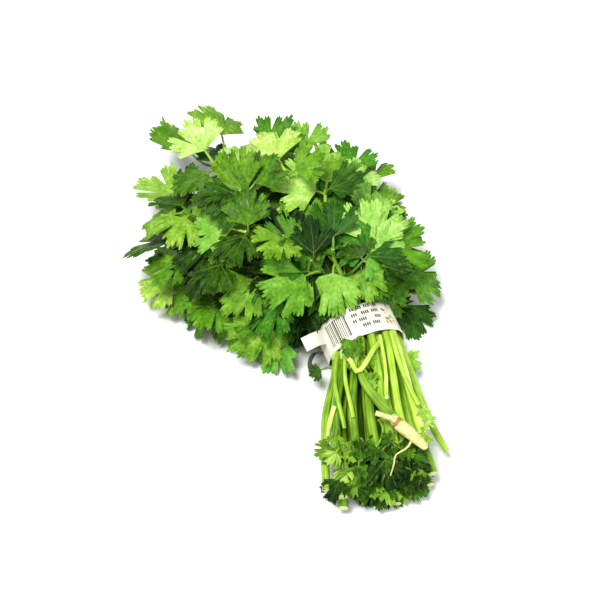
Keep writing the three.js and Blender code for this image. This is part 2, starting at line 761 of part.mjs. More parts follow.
function bandRing() {
  const outline = (inset) => {
    const points = [];
    for (let n = 0; n < BAND_SIDES; n += 1) {
      const angle = (2 * Math.PI * (n + 0.5)) / BAND_SIDES;
      const across = (BAND_HALF_SPAN - inset) * Math.cos(angle);
      const up = BAND_CENTRE_HEIGHT + (BAND_HALF_RISE - inset) * Math.sin(angle);
      points.push(new THREE.Vector2(across, Math.max(up, inset)));
    }
    return points;
  };
  const shape = new THREE.Shape(outline(0));
  shape.holes.push(new THREE.Path(outline(BAND_THICKNESS)));
  const ring = new THREE.ExtrudeGeometry(shape, { depth: BAND_WIDTH, bevelEnabled: false });
  ring.rotateX(Math.PI / 2);
  ring.translate(0, BAND_WIDTH / 2, 0);
  ring.rotateZ(BAND_TURN);
  return solidFrom(ring);
}

function bandTail() {
  const half = TAIL_WIDTH / 2;
  const section = new THREE.Shape([
    new THREE.Vector2(-half, -TAIL_THICKNESS / 2),
    new THREE.Vector2(half, -TAIL_THICKNESS / 2),
    new THREE.Vector2(half, TAIL_THICKNESS / 2),
    new THREE.Vector2(-half, TAIL_THICKNESS / 2),
  ]);
  const route = new THREE.CatmullRomCurve3(spotsFrom(TAIL_ROUTE));
  return solidFrom(new THREE.ExtrudeGeometry(section, { steps: TAIL_STEPS, extrudePath: route }));
}

// Raises a loose piece's centreline until it lies on top of the stems below it.
function layOnStems(spots, radius, stems) {
  for (const spot of spots) {
    for (const { centres, thickness } of stems) {
      for (let k = 0; k < 4; k += 1) {
        const line = new THREE.Line3(centres[k], centres[k + 1]);
        const flat = new THREE.Line3(centres[k].clone().setZ(0), centres[k + 1].clone().setZ(0));
        const share = flat.closestPointToPointParameter(spot.clone().setZ(0), true);
        const below = line.at(share, new THREE.Vector3());
        const need = Math.max(thickness[k], thickness[k + 1]) + radius + STEM_GAP;
        const sideways = Math.hypot(spot.x - below.x, spot.y - below.y);
        if (sideways >= need) continue;
        spot.z = Math.max(spot.z, below.z + Math.sqrt(need * need - sideways * sideways));
      }
    }
  }
}

function taproot(stems) {
  const rooted = nearestPlace(stems, -0.2, 1);
  const others = stems.filter((stem) => stem !== rooted);
  const [end, before] = rooted.centres;
  const ahead = end.clone().sub(before).normalize();
  const crown = end.clone().addScaledVector(ahead, CROWN_GAP);
  const fromCrown = (rows) => spotsFrom(rows).map((spot) => spot.add(crown));
  const route = fromCrown(ROOT_ROUTE);
  layOnStems(route, Math.max(...ROOT_RADII), others);
  const centres = [crown, crown.clone().addScaledVector(ahead, CROWN_LENGTH), ...route];
  return wasm.Manifold.union([
    stalk(centres, ROOT_RADII, ROOT_SIDES),
    stalk(fromCrown(ROOTLET_ROUTE), ROOTLET_RADII, STEM_SIDES),
    stalk(fromCrown(STUB_ROUTE), STUB_RADII, STEM_SIDES),
  ]);
}

function foldedStem(stems) {
  const route = new THREE.CatmullRomCurve3(spotsFrom(FOLDED_ROUTE)).getPoints(FOLDED_STEPS);
  layOnStems(route.slice(2), FOLDED_RADIUS, stems);
  return stalk(route, route.map(() => FOLDED_RADIUS), STEM_SIDES);
}

function named(name, solid, material) {
  const mesh = new THREE.Mesh(geometryFrom(solid), material);
  mesh.name = name;
  return mesh;
}

const herbGreen = new THREE.MeshStandardMaterial({ color: 0x5f9a2a, roughness: 0.55, metalness: 0 });
const paperWhite = new THREE.MeshStandardMaterial({ color: 0xf4f3ee, roughness: 0.45, metalness: 0 });
const rootCream = new THREE.MeshStandardMaterial({ color: 0xe6dfa6, roughness: 0.7, metalness: 0 });

const bunch = new THREE.Group();
const placed = [];

const tie = bandRing().add(bandTail());
addPlaced(placed, tie, null);
bunch.add(named("paper_band", tie, paperWhite));

const stems = growStems();
const sprigs = stems.map((stem, number) => {
  const solid = stalk(stem.centres, stem.thickness, STEM_SIDES);
  addPlaced(placed, solid, number);
  return [solid];
});
const folded = foldedStem(stems);
const foldedParent = stems.indexOf(nearestPlace(stems, 0.2, 1));
sprigs[foldedParent].push(folded);
addPlaced(placed, folded, foldedParent);
const root = taproot(stems);
addPlaced(placed, root, null);
bunch.add(named("taproot", root.simplify(SLIVER), rootCream));

const order = stems.map((stem, number) => number);
order.sort((a, b) => stems[b].head.spot.z - stems[a].head.spot.z);
function grow(oneTry) {
  const found = placeLeaflet(oneTry, placed);
  if (found) sprigs[found.number].push(found.solid);
}
SINGLE_LEAVES.forEach((single, item) => {
  grow((attempt) => singleLeaf(stems, single, item, attempt));
});
for (const slots of [END_SLOTS, ...SIDE_SLOTS.map((slot) => [slot])]) {
  for (const number of order) {
    for (const slot of slots) {
      grow((attempt) => ({ leaf: headLeaf(stems[number], number, slot, attempt), number }));
    }
  }
}

sprigs.forEach((parts, number) => {
  const name = `sprig_${String(number + 1).padStart(2, "0")}`;
  bunch.add(named(name, wasm.Manifold.union(parts).simplify(SLIVER), herbGreen));
});

export default bunch;
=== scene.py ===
# %% [markdown]
# # A bunch of cilantro, tied with a paper band
# The bunch lies on its side. About three dozen stems run through one paper band, and each forks into
# stalked leaflets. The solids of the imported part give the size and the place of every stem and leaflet.
# Here each solid is dressed with a finer piece: thin toothed leaflets, grooved stems, paper and a root. The
# solids only have room for some of the leaflets, so more of them are added here.

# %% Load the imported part
import math

import bpy
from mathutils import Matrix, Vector
from mathutils.kdtree import KDTree


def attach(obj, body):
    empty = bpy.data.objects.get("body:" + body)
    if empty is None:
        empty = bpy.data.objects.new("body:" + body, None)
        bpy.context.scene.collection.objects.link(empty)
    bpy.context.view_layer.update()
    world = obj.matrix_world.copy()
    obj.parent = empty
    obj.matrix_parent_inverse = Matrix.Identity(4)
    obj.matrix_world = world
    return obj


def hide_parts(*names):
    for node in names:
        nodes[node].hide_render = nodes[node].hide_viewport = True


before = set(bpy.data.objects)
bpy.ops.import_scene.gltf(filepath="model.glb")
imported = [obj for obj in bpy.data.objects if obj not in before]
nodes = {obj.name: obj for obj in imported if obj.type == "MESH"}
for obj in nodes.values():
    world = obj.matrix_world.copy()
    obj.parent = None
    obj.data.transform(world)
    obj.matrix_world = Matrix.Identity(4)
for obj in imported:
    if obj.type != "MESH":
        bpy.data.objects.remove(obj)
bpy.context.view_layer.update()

# %% [markdown]
# ## Sizes
# The part was grown by a rule from a few sizes, in millimetres. The same sizes and the same rule are used
# here, so that every fine piece falls exactly on its solid. MM turns them into metres for Blender.

# %% Sizes of the band, the stems and the head
MM = 0.001

BAND_WIDTH = 21
BAND_THICKNESS = 0.8
BAND_HALF_SPAN = 22.8
BAND_HALF_RISE = 19
BAND_CENTRE_HEIGHT = 17
BAND_TURN = math.radians(15)
BAND_CLEARANCE = 0.3
BAND_ALONG = [-math.sin(BAND_TURN), math.cos(BAND_TURN), 0]
BAND_ACROSS = [math.cos(BAND_TURN), math.sin(BAND_TURN), 0]

STEM_SPACING = 6.1
STEM_RADIUS = 2.3
STEM_RADIUS_SPREAD = 0.35
STEM_TIP_RADIUS = 1
STEM_CUT_SWELL = 1.14
STEM_GAP = 0.45
STEM_JITTER = 1.3
PACKING_ROUNDS = 160
SPREADING_ROUNDS = 80
MIDDLE_CUT = 83
CUT_LONGER_BELOW = 13
CUT_LONGER_LEFT = 5
CUT_SPREAD = 3
BRANCHING_STEPS = 5
UP = [0, 0, 1]
ACROSS = [1, 0, 0]

HEAD_CENTRE = [-40, 68, 36]
HEAD_RISE = 38
HEAD_REACH = [50, 56, 54, 42, 60, 64, 67, 58, 51, 48, 54, 76]
HEAD_AXIS = [-0.479, 0.878, 0]
HEAD_WIDEST_ANGLE = math.radians(145)
HEAD_FILL = (0.92, 0.08)
HEAD_SLIDE = 3
FAN_POINT = [-12, 24, 24]
FAN_SHARE, OUTWARD_SHARE = 0.65, 0.35
START_HANDLE, END_HANDLE = 0.3, 0.32
LOWEST_TIP = 3.2

# %% Sizes of a leaflet, and where the leaflets sit
LEAFLET_LENGTH = 25.5
SOLID_BLADE_THICKNESS = 0.7
TOOTH_STEP = 16
TOOTH_RADII = [1.0, 0.93, 0.92, 0.85, 0.66]
BASE_CORNER_ANGLE = 68
BASE_CORNER_RADIUS = 0.28

# usual value and spread of a leaflet's measures
SIZE, BREADTH, FOLD, DROOP = (1, 0.12), (1.06, 0.08), (0.1, 0.16), (0.1, 0.12)
WAVE, PHASE = (0, 0.06), (0, math.pi)
LOWEST_BASE = 1

# index, angle in degrees, share along the stem, stalk, lift and size
END_SLOTS = [(0, 0, 0.98, 8, 1, 1), (1, 66, 0.96, 6, 0, 0.92), (2, -66, 0.96, 6, 0, 0.92)]
SIDE_SLOTS = [(3, 42, 0.66, 14, 9, 1), (4, -38, 0.44, 15, 13, 0.95)]

# base, heading in degrees from +X, length and how the blade leans
SINGLE_LEAVES = [
    ([30, 22, 9], -82, 26, [0.1, 0]),
    ([22, -14, 14], -35, 12, [0.3, -0.2]),
    ([-23, -18, 14], 215, 10, [-0.3, -0.2]),
    ([-12, -82, 27], 262, 17, [-0.1, -0.95]),
    ([2, -81, 28], 268, 18, [0, -0.95]),
    ([14, -79, 26], 280, 18, [0.1, -0.95]),
    ([-22, -84, 10], 240, 12, [-0.1, -0.95]),
    ([-2, -87, 15], 268, 16, [0, -0.8]),
    ([22, -78, 7], 285, 12, [0.1, -0.95]),
    ([-22, -70, 24], 215, 13, [-0.5, -0.3]),
    ([-6, -17, 42], 235, 11, [0, 0]),
    ([-13, 25, 46], 262, 24, [-0.1, -0.3]),
    ([3, 27, 45], 278, 23, [0.1, -0.3]),
    ([16, 27, 38], 300, 23, [0.3, -0.3]),
    ([-29, 20, 36], 245, 24, [-0.3, -0.3]),
    ([31, 29, 28], -5, 23, [0.4, -0.2]),
    ([-35, 20, 10], 240, 21, [-0.1, -0.1]),
    ([-55, 23, 12], 226, 21, [-0.1, -0.1]),
    ([-101, 45, 22], 187, 27, [-0.2, -0.2]),
    ([-92, 45, 18], 225, 24, [-0.2, -0.2]),
    ([-102, 60, 38], 168, 26, [-0.1, 0.9]),
    ([-90, 94, 30], 165, 22, [-0.3, 0]),
    ([-86, 128, 32], 118, 30, [0.5, 0.3]),
    ([-67, 122, 54], 97, 28, [0.6, 0]),
    ([6, 100, 37], 90, 27, [0.1, 0]),
    ([19, 97, 31], 90, 24, [0.2, 0]),
    ([-57, 68, 69], 112, 24, [-0.3, -0.9]),
]
# the leaves whose tone or frill differs from the rest, by their place in the list above
SINGLE_LOOKS = {0: {"tone": 0.16, "frill": 0.3, "form": 0}, 1: {"tone": 0.6, "frill": 1.6}, 2: {"tone": 0.15},
                10: {"tone": 0.42, "frill": 2.6, "warmth": 0.7}, 11: {"tone": 0.6}, 12: {"tone": 0.5},
                13: {"tone": 0.42}, 14: {"tone": 0.28}, 18: {"tone": 0.62}, 20: {"tone": 0.3, "frill": 0.3},
                22: {"tone": 0.58}, 23: {"tone": 0.62}}
SINGLE_STALK = 6

TRIES = 40
# the value at the first try, and what is added by the last: later tries are freer, and the leaflet smaller
HEAD_TILT, HEAD_TURN, STALK_STRETCH = (0.42, 0.4), (10, 20), (0.2, 0.4)
HEAD_LIFT, HEAD_SIZE = (0, 6), (1, -0.16)
SINGLE_TILT, SINGLE_TURN, SINGLE_SLIDE = (0.1, 0.5), (0, 30), (0, 3)
SINGLE_LIFT, SINGLE_SIZE = (0, 4), (1, -0.2)
# how much a leaflet of the mound faces up and outwards, and how level its heading is
HEAD_UPRIGHT, HEAD_OUTWARD, HEAD_LEVEL = 0.66, 0.5, 0.7
# between which shares of each straight run of a stem a stalk may start
STALK_ROOTS = (0.06, 0.94)

# %% Sizes of the rooted plant, the folded stem and the stray stem
# which stems they are, by their place across and up in the band
ROOTED_PLACE, FOLDED_PLACE, STRAY_PLACE = (-0.2, 1), (0.2, 1), (1, -0.2)
ROOTED_MIDDLE = [-4, -38, 37]
CROWN = [7.5, -63, 40]
CROWN_GAP = 0.3
CROWN_LENGTH = 2
ROOT_ROUTE = [[3.9, -5.6, 0], [7.8, -9.8, -0.5], [11.8, -13.9, -2], [14.4, -16.8, -3]]
ROOT_RADII = [2.9, 3.3, 3.9, 3.7, 3.2, 2.4]
ROOTLET_ROUTE = [[9, -11.5, -1.5], [5.5, -16.5, -2.5], [-0.5, -19, -5], [-2, -22.5, -9], [-4, -26.5, -13]]
ROOTLET_RADII = [0.9, 0.6, 0.5, 0.5, 0.4]
STUB_ROUTE = [[1.2, -3, 1.5], [-2.5, -1.8, 4.2], [-9, 0.6, 5.5]]
STUB_RADII = [1.9, 1.7, 1.6]
FOLDED_ROUTE = [[8.5, -12.5, 31], [2, -23, 38], [-6, -34.5, 39], [-9.5, -27, 39], [-13, -19.5, 38]]
FOLDED_RADIUS = 1.5
STRAY_MIDDLE = [29, -50, 15]
STRAY_END = [38, -71, 9]
STRAY_END_RADIUS = 1.5

# %% [markdown]
# ## Points and repeatable numbers
# Points are plain lists here, because Blender's own vectors hold fewer digits than the growth rule needs.
# The numbers that look random come from a small counter that gives the same row each time.

# %% Arithmetic with points
RANDOM_MULTIPLIER = 16807
RANDOM_MODULUS = 2147483647
KIND_STEP, ITEM_STEP, TRY_STEP = 7919, 104729, 15485863
WARM_UP = 4
# what each kind of number is drawn for
PACKING, MOUND, RADIUS, CUT, HEAD_LEAF, SINGLE_LEAF = 1, 2, 3, 4, 5, 6
SIDE_LEAF, LOW_LEAF, FILLING_LEAF, LOOSE_BIT, LEAF_EDGE, LEAF_LOOK, STEM_TONE = 8, 9, 10, 11, 20, 21, 22


def draws(kind, item, attempt, count):
    state = (1 + kind * KIND_STEP + item * ITEM_STEP + attempt * TRY_STEP) % RANDOM_MODULUS
    numbers = []
    for _ in range(count + WARM_UP):
        state = state * RANDOM_MULTIPLIER % RANDOM_MODULUS
        numbers.append(2 * state / RANDOM_MODULUS - 1)
    return numbers[WARM_UP:]


def plus(point, step, share=1.0):
    return [point[0] + share * step[0], point[1] + share * step[1], point[2] + share * step[2]]


def minus(a, b):
    return [a[0] - b[0], a[1] - b[1], a[2] - b[2]]


def dot(a, b):
    return a[0] * b[0] + a[1] * b[1] + a[2] * b[2]


def cross(a, b):
    return [a[1] * b[2] - a[2] * b[1], a[2] * b[0] - a[0] * b[2], a[0] * b[1] - a[1] * b[0]]


def unit(a):
    size = math.sqrt(dot(a, a))
    return [a[0] / size, a[1] / size, a[2] / size]


def between(a, b, share):
    return [a[0] + (b[0] - a[0]) * share, a[1] + (b[1] - a[1]) * share, a[2] + (b[2] - a[2]) * share]


def limit(value, low, high):
    return max(low, min(high, value))


def shifted(usual_and_spread, draw):
    return usual_and_spread[0] + usual_and_spread[1] * draw


def turned(vector, axis, angle):
    swung = plus([v * math.cos(angle) for v in vector], cross(axis, vector), math.sin(angle))
    return plus(swung, axis, dot(axis, vector) * (1 - math.cos(angle)))


# %% [markdown]
# ## The stems
# In the band the stems lie packed like pencils. Each cross-section is packed by itself, then whole
# centrelines are pushed apart until no two stems touch. Past the band they fan out to the mound of leaves.

# %% Pack the cross-sections
def cross_sections():
    inset = BAND_THICKNESS + BAND_CLEARANCE
    edge = BAND_WIDTH / 2 + 1
    middle = [0, 0, BAND_CENTRE_HEIGHT]
    span, rise = BAND_HALF_SPAN - inset, BAND_HALF_RISE - inset
    # centre, half span, half rise, floor, across, swell, jitter
    return [
        ([2, -100, 19], 36, 18.5, 0, ACROSS, STEM_CUT_SWELL, 1.3),
        ([1, -50, 18.5], 29.5, 18.5, 0.2, ACROSS, STEM_CUT_SWELL, 1),
        (plus(middle, BAND_ALONG, -edge), span, rise, inset, BAND_ACROSS, 1, 0.6),
        (plus(middle, BAND_ALONG, edge), span, rise, inset, BAND_ACROSS, 1, 0.6),
    ]


def stem_rows():
    half_span = BAND_HALF_SPAN - BAND_THICKNESS - STEM_RADIUS
    half_rise = BAND_HALF_RISE - BAND_THICKNESS - STEM_RADIUS
    row_rise = STEM_SPACING * math.sin(math.pi / 3)
    rows = math.floor(2 * half_rise / row_rise)
    places = []
    for row in range(rows + 1):
        up = (row - rows / 2) * row_rise
        share = math.sqrt(max(0, 1 - (up / half_rise) ** 2))
        in_row = max(2, math.floor(2 * half_span * share / STEM_SPACING + 0.5) + row % 2)
        for n in range(in_row):
            across = (n - (in_row - 1) / 2) * STEM_SPACING
            reach = math.hypot(across / half_span, up / half_rise)
            inside = min(1, 1 / max(reach, 1e-6))
            places.append((across / half_span * inside, up / half_rise * inside))
    return places


def settle(section, places, thickness):
    centre, half_span, half_rise, floor, across_way, swell, jitter = section
    radii = [radius * swell for radius in thickness]
    slide = STEM_JITTER * jitter
    spots = []
    for n, (across, up) in enumerate(places):
        slide_across, slide_up = draws(PACKING, n, 0, 2)
        spots.append([across * (half_span - radii[n]) + slide * slide_across,
                      up * (half_rise - radii[n]) + slide * slide_up])
    for _ in range(PACKING_ROUNDS):
        for a, one in enumerate(spots):
            for b in range(a + 1, len(spots)):
                two = spots[b]
                dx = two[0] - one[0]
                dz = two[1] - one[1]
                distance = math.hypot(dx, dz)
                push = (radii[a] + radii[b] + STEM_GAP - distance) / 2
                if push <= 0:
                    continue
                one[0] -= dx / distance * push
                one[1] -= dz / distance * push
                two[0] += dx / distance * push
                two[1] += dz / distance * push
        for n, spot in enumerate(spots):
            reach = math.hypot(spot[0] / (half_span - radii[n]), spot[1] / (half_rise - radii[n]))
            keep = 1 / reach if reach > 1 else 1
            spot[0] *= keep
            spot[1] = max(spot[1] * keep, floor + radii[n] - centre[2])
    return [plus(plus(centre, across_way, across), UP, up) for across, up in spots]


# %% Push whole stems apart
def closest_shares(a, b, c, d):
    along, other, gap = minus(b, a), minus(d, c), minus(a, c)
    aa, bb, ab = dot(along, along), dot(other, other), dot(along, other)
    ac, bc = dot(along, gap), dot(other, gap)
    spread = aa * bb - ab * ab
    first = limit((ab * bc - ac * bb) / spread, 0, 1) if spread > 1e-6 else 0.5
    second = limit((ab * first + bc) / bb, 0, 1)
    return limit((ab * second - ac) / aa, 0, 1), second


def apart_on_axis(a, b, c, d, need):
    return min(a, b) - need > max(c, d) or min(c, d) - need > max(a, b)


def move(point, step, share):
    for axis in range(3):
        point[axis] += step[axis] * share


def parted(one, two):
    moved = 0
    for i in range(len(one["centres"]) - 1):
        a, b = one["centres"][i], one["centres"][i + 1]
        thick = max(one["thickness"][i], one["thickness"][i + 1])
        for j in range(len(two["centres"]) - 1):
            c, d = two["centres"][j], two["centres"][j + 1]
            need = thick + max(two["thickness"][j], two["thickness"][j + 1]) + STEM_GAP
            if apart_on_axis(a[0], b[0], c[0], d[0], need) or apart_on_axis(a[1], b[1], c[1], d[1], need):
                continue
            s, t = closest_shares(a, b, c, d)
            push = minus(between(a, b, s), between(c, d, t))
            distance = max(math.sqrt(dot(push, push)), 1e-6)
            if distance >= need:
                continue
            push = [v * ((need - distance) / distance / 2) for v in push]
            move(a, push, 1 - s)
            move(b, push, s)
            move(c, push, t - 1)
            move(d, push, -t)
            moved += 1
    return moved


def hold_in_band(centre, radius):
    inset = BAND_THICKNESS + BAND_CLEARANCE + radius
    across = dot(centre, BAND_ACROSS)
    up = centre[2] - BAND_CENTRE_HEIGHT
    reach = math.hypot(across / (BAND_HALF_SPAN - inset), up / (BAND_HALF_RISE - inset))
    keep = 1 / reach if reach > 1 else 1
    move(centre, BAND_ACROSS, across * (keep - 1))
    centre[2] = max(BAND_CENTRE_HEIGHT + up * keep, inset)


def spread_apart(stems):
    for _ in range(SPREADING_ROUNDS):
        moved = 0
        for m, one in enumerate(stems):
            for two in stems[m + 1:]:
                moved += parted(one, two)
        for stem in stems:
            for centre, radius in zip(stem["centres"], stem["thickness"]):
                centre[2] = max(centre[2], radius)
            hold_in_band(stem["centres"][2], stem["thickness"][2])
            hold_in_band(stem["centres"][3], stem["thickness"][3])
        if moved == 0:
            break


# %% Fan the stems out to the mound of leaves
def head_reach(angle):
    place = (angle / (2 * math.pi) + 1) % 1 * len(HEAD_REACH)
    start = math.floor(place) % len(HEAD_REACH)
    share = place - math.floor(place)
    return (1 - share) * HEAD_REACH[start] + share * HEAD_REACH[(start + 1) % len(HEAD_REACH)]


def head_spot(across, up, n):
    ring = min(1, math.hypot(across, up))
    turn = math.atan2(up, across)
    bend = math.acos(1 - ring * ring * (1 - math.cos(HEAD_WIDEST_ANGLE)))
    reach_draw, slide_x, slide_y = draws(MOUND, n, 0, 3)
    right = [HEAD_AXIS[1], -HEAD_AXIS[0], 0]
    direction = [v * math.cos(bend) for v in HEAD_AXIS]
    direction = plus(direction, right, math.sin(bend) * math.cos(turn))
    direction = plus(direction, UP, math.sin(bend) * math.sin(turn))
    reach = head_reach(math.atan2(direction[1], direction[0]))
    radii = [reach, reach, HEAD_RISE]
    step = [direction[axis] * radii[axis] for axis in range(3)]
    spot = plus(HEAD_CENTRE, step, shifted(HEAD_FILL, reach_draw))
    spot = [spot[0] + HEAD_SLIDE * slide_x, spot[1] + HEAD_SLIDE * slide_y, max(spot[2], LOWEST_TIP)]
    return spot, unit([direction[axis] / radii[axis] for axis in range(3)])


def bezier(a, b, c, d, t):
    k = 1 - t
    shares = [k * k * k, 3 * k * k * t, 3 * k * t * t, t * t * t]
    return [sum(share * point[axis] for share, point in zip(shares, (a, b, c, d))) for axis in range(3)]


def nearest_place(stems, across, up):
    return min(stems, key=lambda stem: math.hypot(stem["across"] - across, stem["up"] - up))


def grow_stems():
    places = stem_rows()
    radii = [STEM_RADIUS + STEM_RADIUS_SPREAD * draws(RADIUS, n, 0, 1)[0] for n in range(len(places))]
    rear, middle, band_low, band_high = [settle(section, places, radii) for section in cross_sections()]
    stems = []
    for n, (across, up) in enumerate(places):
        cut = MIDDLE_CUT - CUT_LONGER_BELOW * up - CUT_LONGER_LEFT * across
        cut += CUT_SPREAD * draws(CUT, n, 0, 1)[0]
        share = (cut + middle[n][1]) / (middle[n][1] - rear[n][1])
        cut_end = between(middle[n], rear[n], share)
        spot, outward = head_spot(across, up, n)
        start = band_high[n]
        distance = math.dist(start, spot)
        outwards = [v * FAN_SHARE for v in unit(minus(spot, FAN_POINT))]
        outwards = unit(plus(outwards, outward, OUTWARD_SHARE))
        handles = (plus(start, BAND_ALONG, distance * START_HANDLE),
                   plus(spot, outwards, -distance * END_HANDLE))
        fan = [bezier(start, *handles, spot, step / BRANCHING_STEPS) for step in range(BRANCHING_STEPS + 1)]
        thickness = [radii[n] * STEM_CUT_SWELL, radii[n] * STEM_CUT_SWELL, radii[n]]
        for step in range(BRANCHING_STEPS + 1):
            share = step / BRANCHING_STEPS
            thickness.append((1 - share) * radii[n] + share * STEM_TIP_RADIUS)
        centres = [cut_end, list(middle[n]), list(band_low[n]), *fan]
        stems.append({"number": n, "across": across, "up": up, "spot": spot, "outward": outward,
                      "outwards": outwards, "centres": centres, "thickness": thickness})
    rooted = nearest_place(stems, *ROOTED_PLACE)
    rooted["centres"][0] = list(CROWN)
    rooted["centres"][1] = list(ROOTED_MIDDLE)
    stray = nearest_place(stems, *STRAY_PLACE)
    stray["centres"][0] = list(STRAY_END)
    stray["centres"][1] = list(STRAY_MIDDLE)
    stray["thickness"][0] = STRAY_END_RADIUS
    spread_apart(stems)
    return stems


stems = grow_stems()
print("stems", len(stems), "first cut end", [round(v, 3) for v in stems[0]["centres"][0]])

# %% [markdown]
# ## The leaflets
# Each leaflet of the solids was placed at the first try that cleared its neighbours. The solids don't say
# which try that was, but its nine tooth tips are corners of the solid. So each try is worked out again, and
# the one whose tips are found among the corners is the leaflet that is there.

# %% Work out one try at a leaflet
def stem_point(stem, share):
    first = len(stem["centres"]) - 1 - BRANCHING_STEPS
    step = min(math.floor(share * BRANCHING_STEPS), BRANCHING_STEPS - 1)
    start, end = stem["centres"][first + step], stem["centres"][first + step + 1]
    return between(start, end, share * BRANCHING_STEPS - step)


def leaf_shape(numbers, root, base, heading, normal, length):
    size_draw, fold_draw, droop_draw, wave_draw, phase_draw = numbers
    along = unit(plus(heading, normal, -dot(heading, normal)))
    return {
        "root": root,
        "base": [base[0], base[1], max(base[2], LOWEST_BASE)],
        "along": along,
        "across": unit(cross(normal, along)),
        "normal": normal,
        "size": length * shifted(SIZE, size_draw),
        "breadth": shifted(BREADTH, wave_draw),
        "fold": shifted(FOLD, fold_draw),
        "droop": shifted(DROOP, droop_draw),
        "wave": shifted(WAVE, wave_draw),
        "phase": shifted(PHASE, phase_draw),
    }


def head_leaf(stem, slot, attempt):
    index, slot_angle, at, stalk, lift, size = slot
    ease = attempt / TRIES
    turn, tilt_x, tilt_y, reach, lift_draw, *shape = draws(HEAD_LEAF, stem["number"] * 8 + index, attempt, 10)
    outward = [stem["outward"][0], stem["outward"][1], max(stem["outward"][2], 0)]
    loose = shifted(HEAD_TILT, ease)
    normal = plus([0, 0, HEAD_UPRIGHT], outward, HEAD_OUTWARD)
    normal = unit(plus(normal, [tilt_x * loose, tilt_y * loose, 0]))
    level = minus(stem["spot"], FAN_POINT)
    heading = plus(stem["outwards"], unit([level[0], level[1], 0]), HEAD_LEVEL)
    heading = unit(plus(heading, normal, -dot(heading, normal)))
    heading = turned(heading, normal, math.radians(slot_angle + shifted(HEAD_TURN, ease) * turn))
    root = stem_point(stem, at)
    base = plus(root, heading, stalk * (1 + shifted(STALK_STRETCH, ease) * reach))
    base = plus(base, normal, lift + shifted(HEAD_LIFT, ease) * lift_draw)
    length = LEAFLET_LENGTH * size * shifted(HEAD_SIZE, ease)
    return leaf_shape(shape, root, base, heading, normal, length)


def nearest_stem_point(spot):
    best = (math.inf, 0, spot)
    for stem in stems:
        for start, end in zip(stem["centres"], stem["centres"][1:]):
            line = minus(end, start)
            share = dot(minus(spot, start), line) / dot(line, line)
            point = between(start, end, limit(share, *STALK_ROOTS))
            best = min(best, (math.dist(point, spot), stem["number"], point), key=lambda found: found[0])
    return best[1], best[2]


def single_leaf(single, item, attempt):
    base, heading_degrees, length, (lean_x, lean_y) = single
    ease = attempt / TRIES
    turn, tilt_x, tilt_y, lift_draw, slide, *shape = draws(SINGLE_LEAF, item, attempt, 10)
    angle = math.radians(heading_degrees + shifted(SINGLE_TURN, ease) * turn)
    heading = [math.cos(angle), math.sin(angle), 0]
    loose = shifted(SINGLE_TILT, ease)
    normal = unit([lean_x + tilt_x * loose, lean_y + tilt_y * loose, 1])
    base = plus(base, heading, shifted(SINGLE_SLIDE, ease) * slide)
    base[2] += shifted(SINGLE_LIFT, ease) * lift_draw
    number, root = nearest_stem_point(plus(base, heading, -SINGLE_STALK))
    leaf = leaf_shape(shape, root, base, heading, normal, length * shifted(SINGLE_SIZE, ease))
    return number, {**leaf, **SINGLE_LOOKS.get(item, {})}


def blade_point(leaf, angle_degrees, share):
    angle = math.radians(angle_degrees)
    along = share * math.cos(angle)
    across = share * math.sin(angle) * leaf["breadth"]
    rise = leaf["fold"] * abs(across) - leaf["droop"] * along * along
    rise += leaf["wave"] * share * share * math.sin(3 * angle + leaf["phase"])
    point = plus(leaf["base"], leaf["along"], along * leaf["size"])
    point = plus(point, leaf["across"], across * leaf["size"])
    return plus(point, leaf["normal"], rise * leaf["size"])


# %% Find the leaflets of the solids
TEETH = range(1 - len(TOOTH_RADII), len(TOOTH_RADII))
TIP_TOLERANCE = 0.03
TIPS_NEEDED = 7


def corners_of(name):
    vertices = nodes[name].data.vertices
    tree = KDTree(len(vertices))
    for vertex in vertices:
        tree.insert(vertex.co / MM, vertex.index)
    tree.balance()
    return tree


def is_in_solid(leaf, corners):
    found = 0
    for tooth in TEETH:
        middle = blade_point(leaf, tooth * TOOTH_STEP, TOOTH_RADII[abs(tooth)])
        over = plus(middle, leaf["normal"], SOLID_BLADE_THICKNESS / 2)
        under = plus(middle, leaf["normal"], -SOLID_BLADE_THICKNESS / 2)
        over[2] += max(0, -min(over[2], under[2]))
        found += corners.find(over)[2] < TIP_TOLERANCE
    return found >= TIPS_NEEDED


corners = [corners_of(f"sprig_{stem['number'] + 1:02d}") for stem in stems]
leaves = [[] for _ in stems]
left_out = []


def look_for(one_try, slot):
    for attempt in range(TRIES):
        number, leaf = one_try(attempt)
        if is_in_solid(leaf, corners[number]):
            leaf["slot"] = slot
            leaves[number].append(leaf)
            return
    left_out.append((one_try, slot))


for item, single in enumerate(SINGLE_LEAVES):
    look_for(lambda attempt, item=item, single=single: single_leaf(single, item, attempt), -1)
for stem in stems:
    for slot in END_SLOTS + SIDE_SLOTS:
        look_for(lambda attempt, stem=stem, slot=slot: (stem["number"], head_leaf(stem, slot, attempt)),
                 slot[0])
print("leaflets in the solids", sum(map(len, leaves)), "slots with none", len(left_out))

# %% [markdown]
# ## More leaflets
# The real blades are thin, so they lie closer than thick solids can. The slots that found no room in the
# solids get the try that lies furthest from the others, if it doesn't dip below the table or hide the band.
# A side branch ends in three leaflets, not one. The added leaflets may cross each other.

# %% Add the leaflets that the solids have no room for
SIDE_LEAFLET_SIZE = 0.74
SIDE_LEAFLET_ANGLE = (74, 8)
SIDE_LEAFLET_BACK = 3.5
SIDE_LEAFLET_STALK = 1.6
SIDE_LEAFLET_LEAN = 0.12
# how far a blade may dip under the table before it is lifted on to it, and how level it then has to be
GROUND_DIP, FLATTEST_DIP = 7, 0.6
# how far forwards a stalk has to run: 1 is straight into its blade, 0 is square to it
LEAST_STALK_AHEAD = 0.3
# angles at which a blade's edge is tested, and the room in front of the band that has to stay clear
VIEW_ANGLES = (-48, 0, 48)
KEPT_CLEAR_ALONG, KEPT_CLEAR_ACROSS = 13, -38


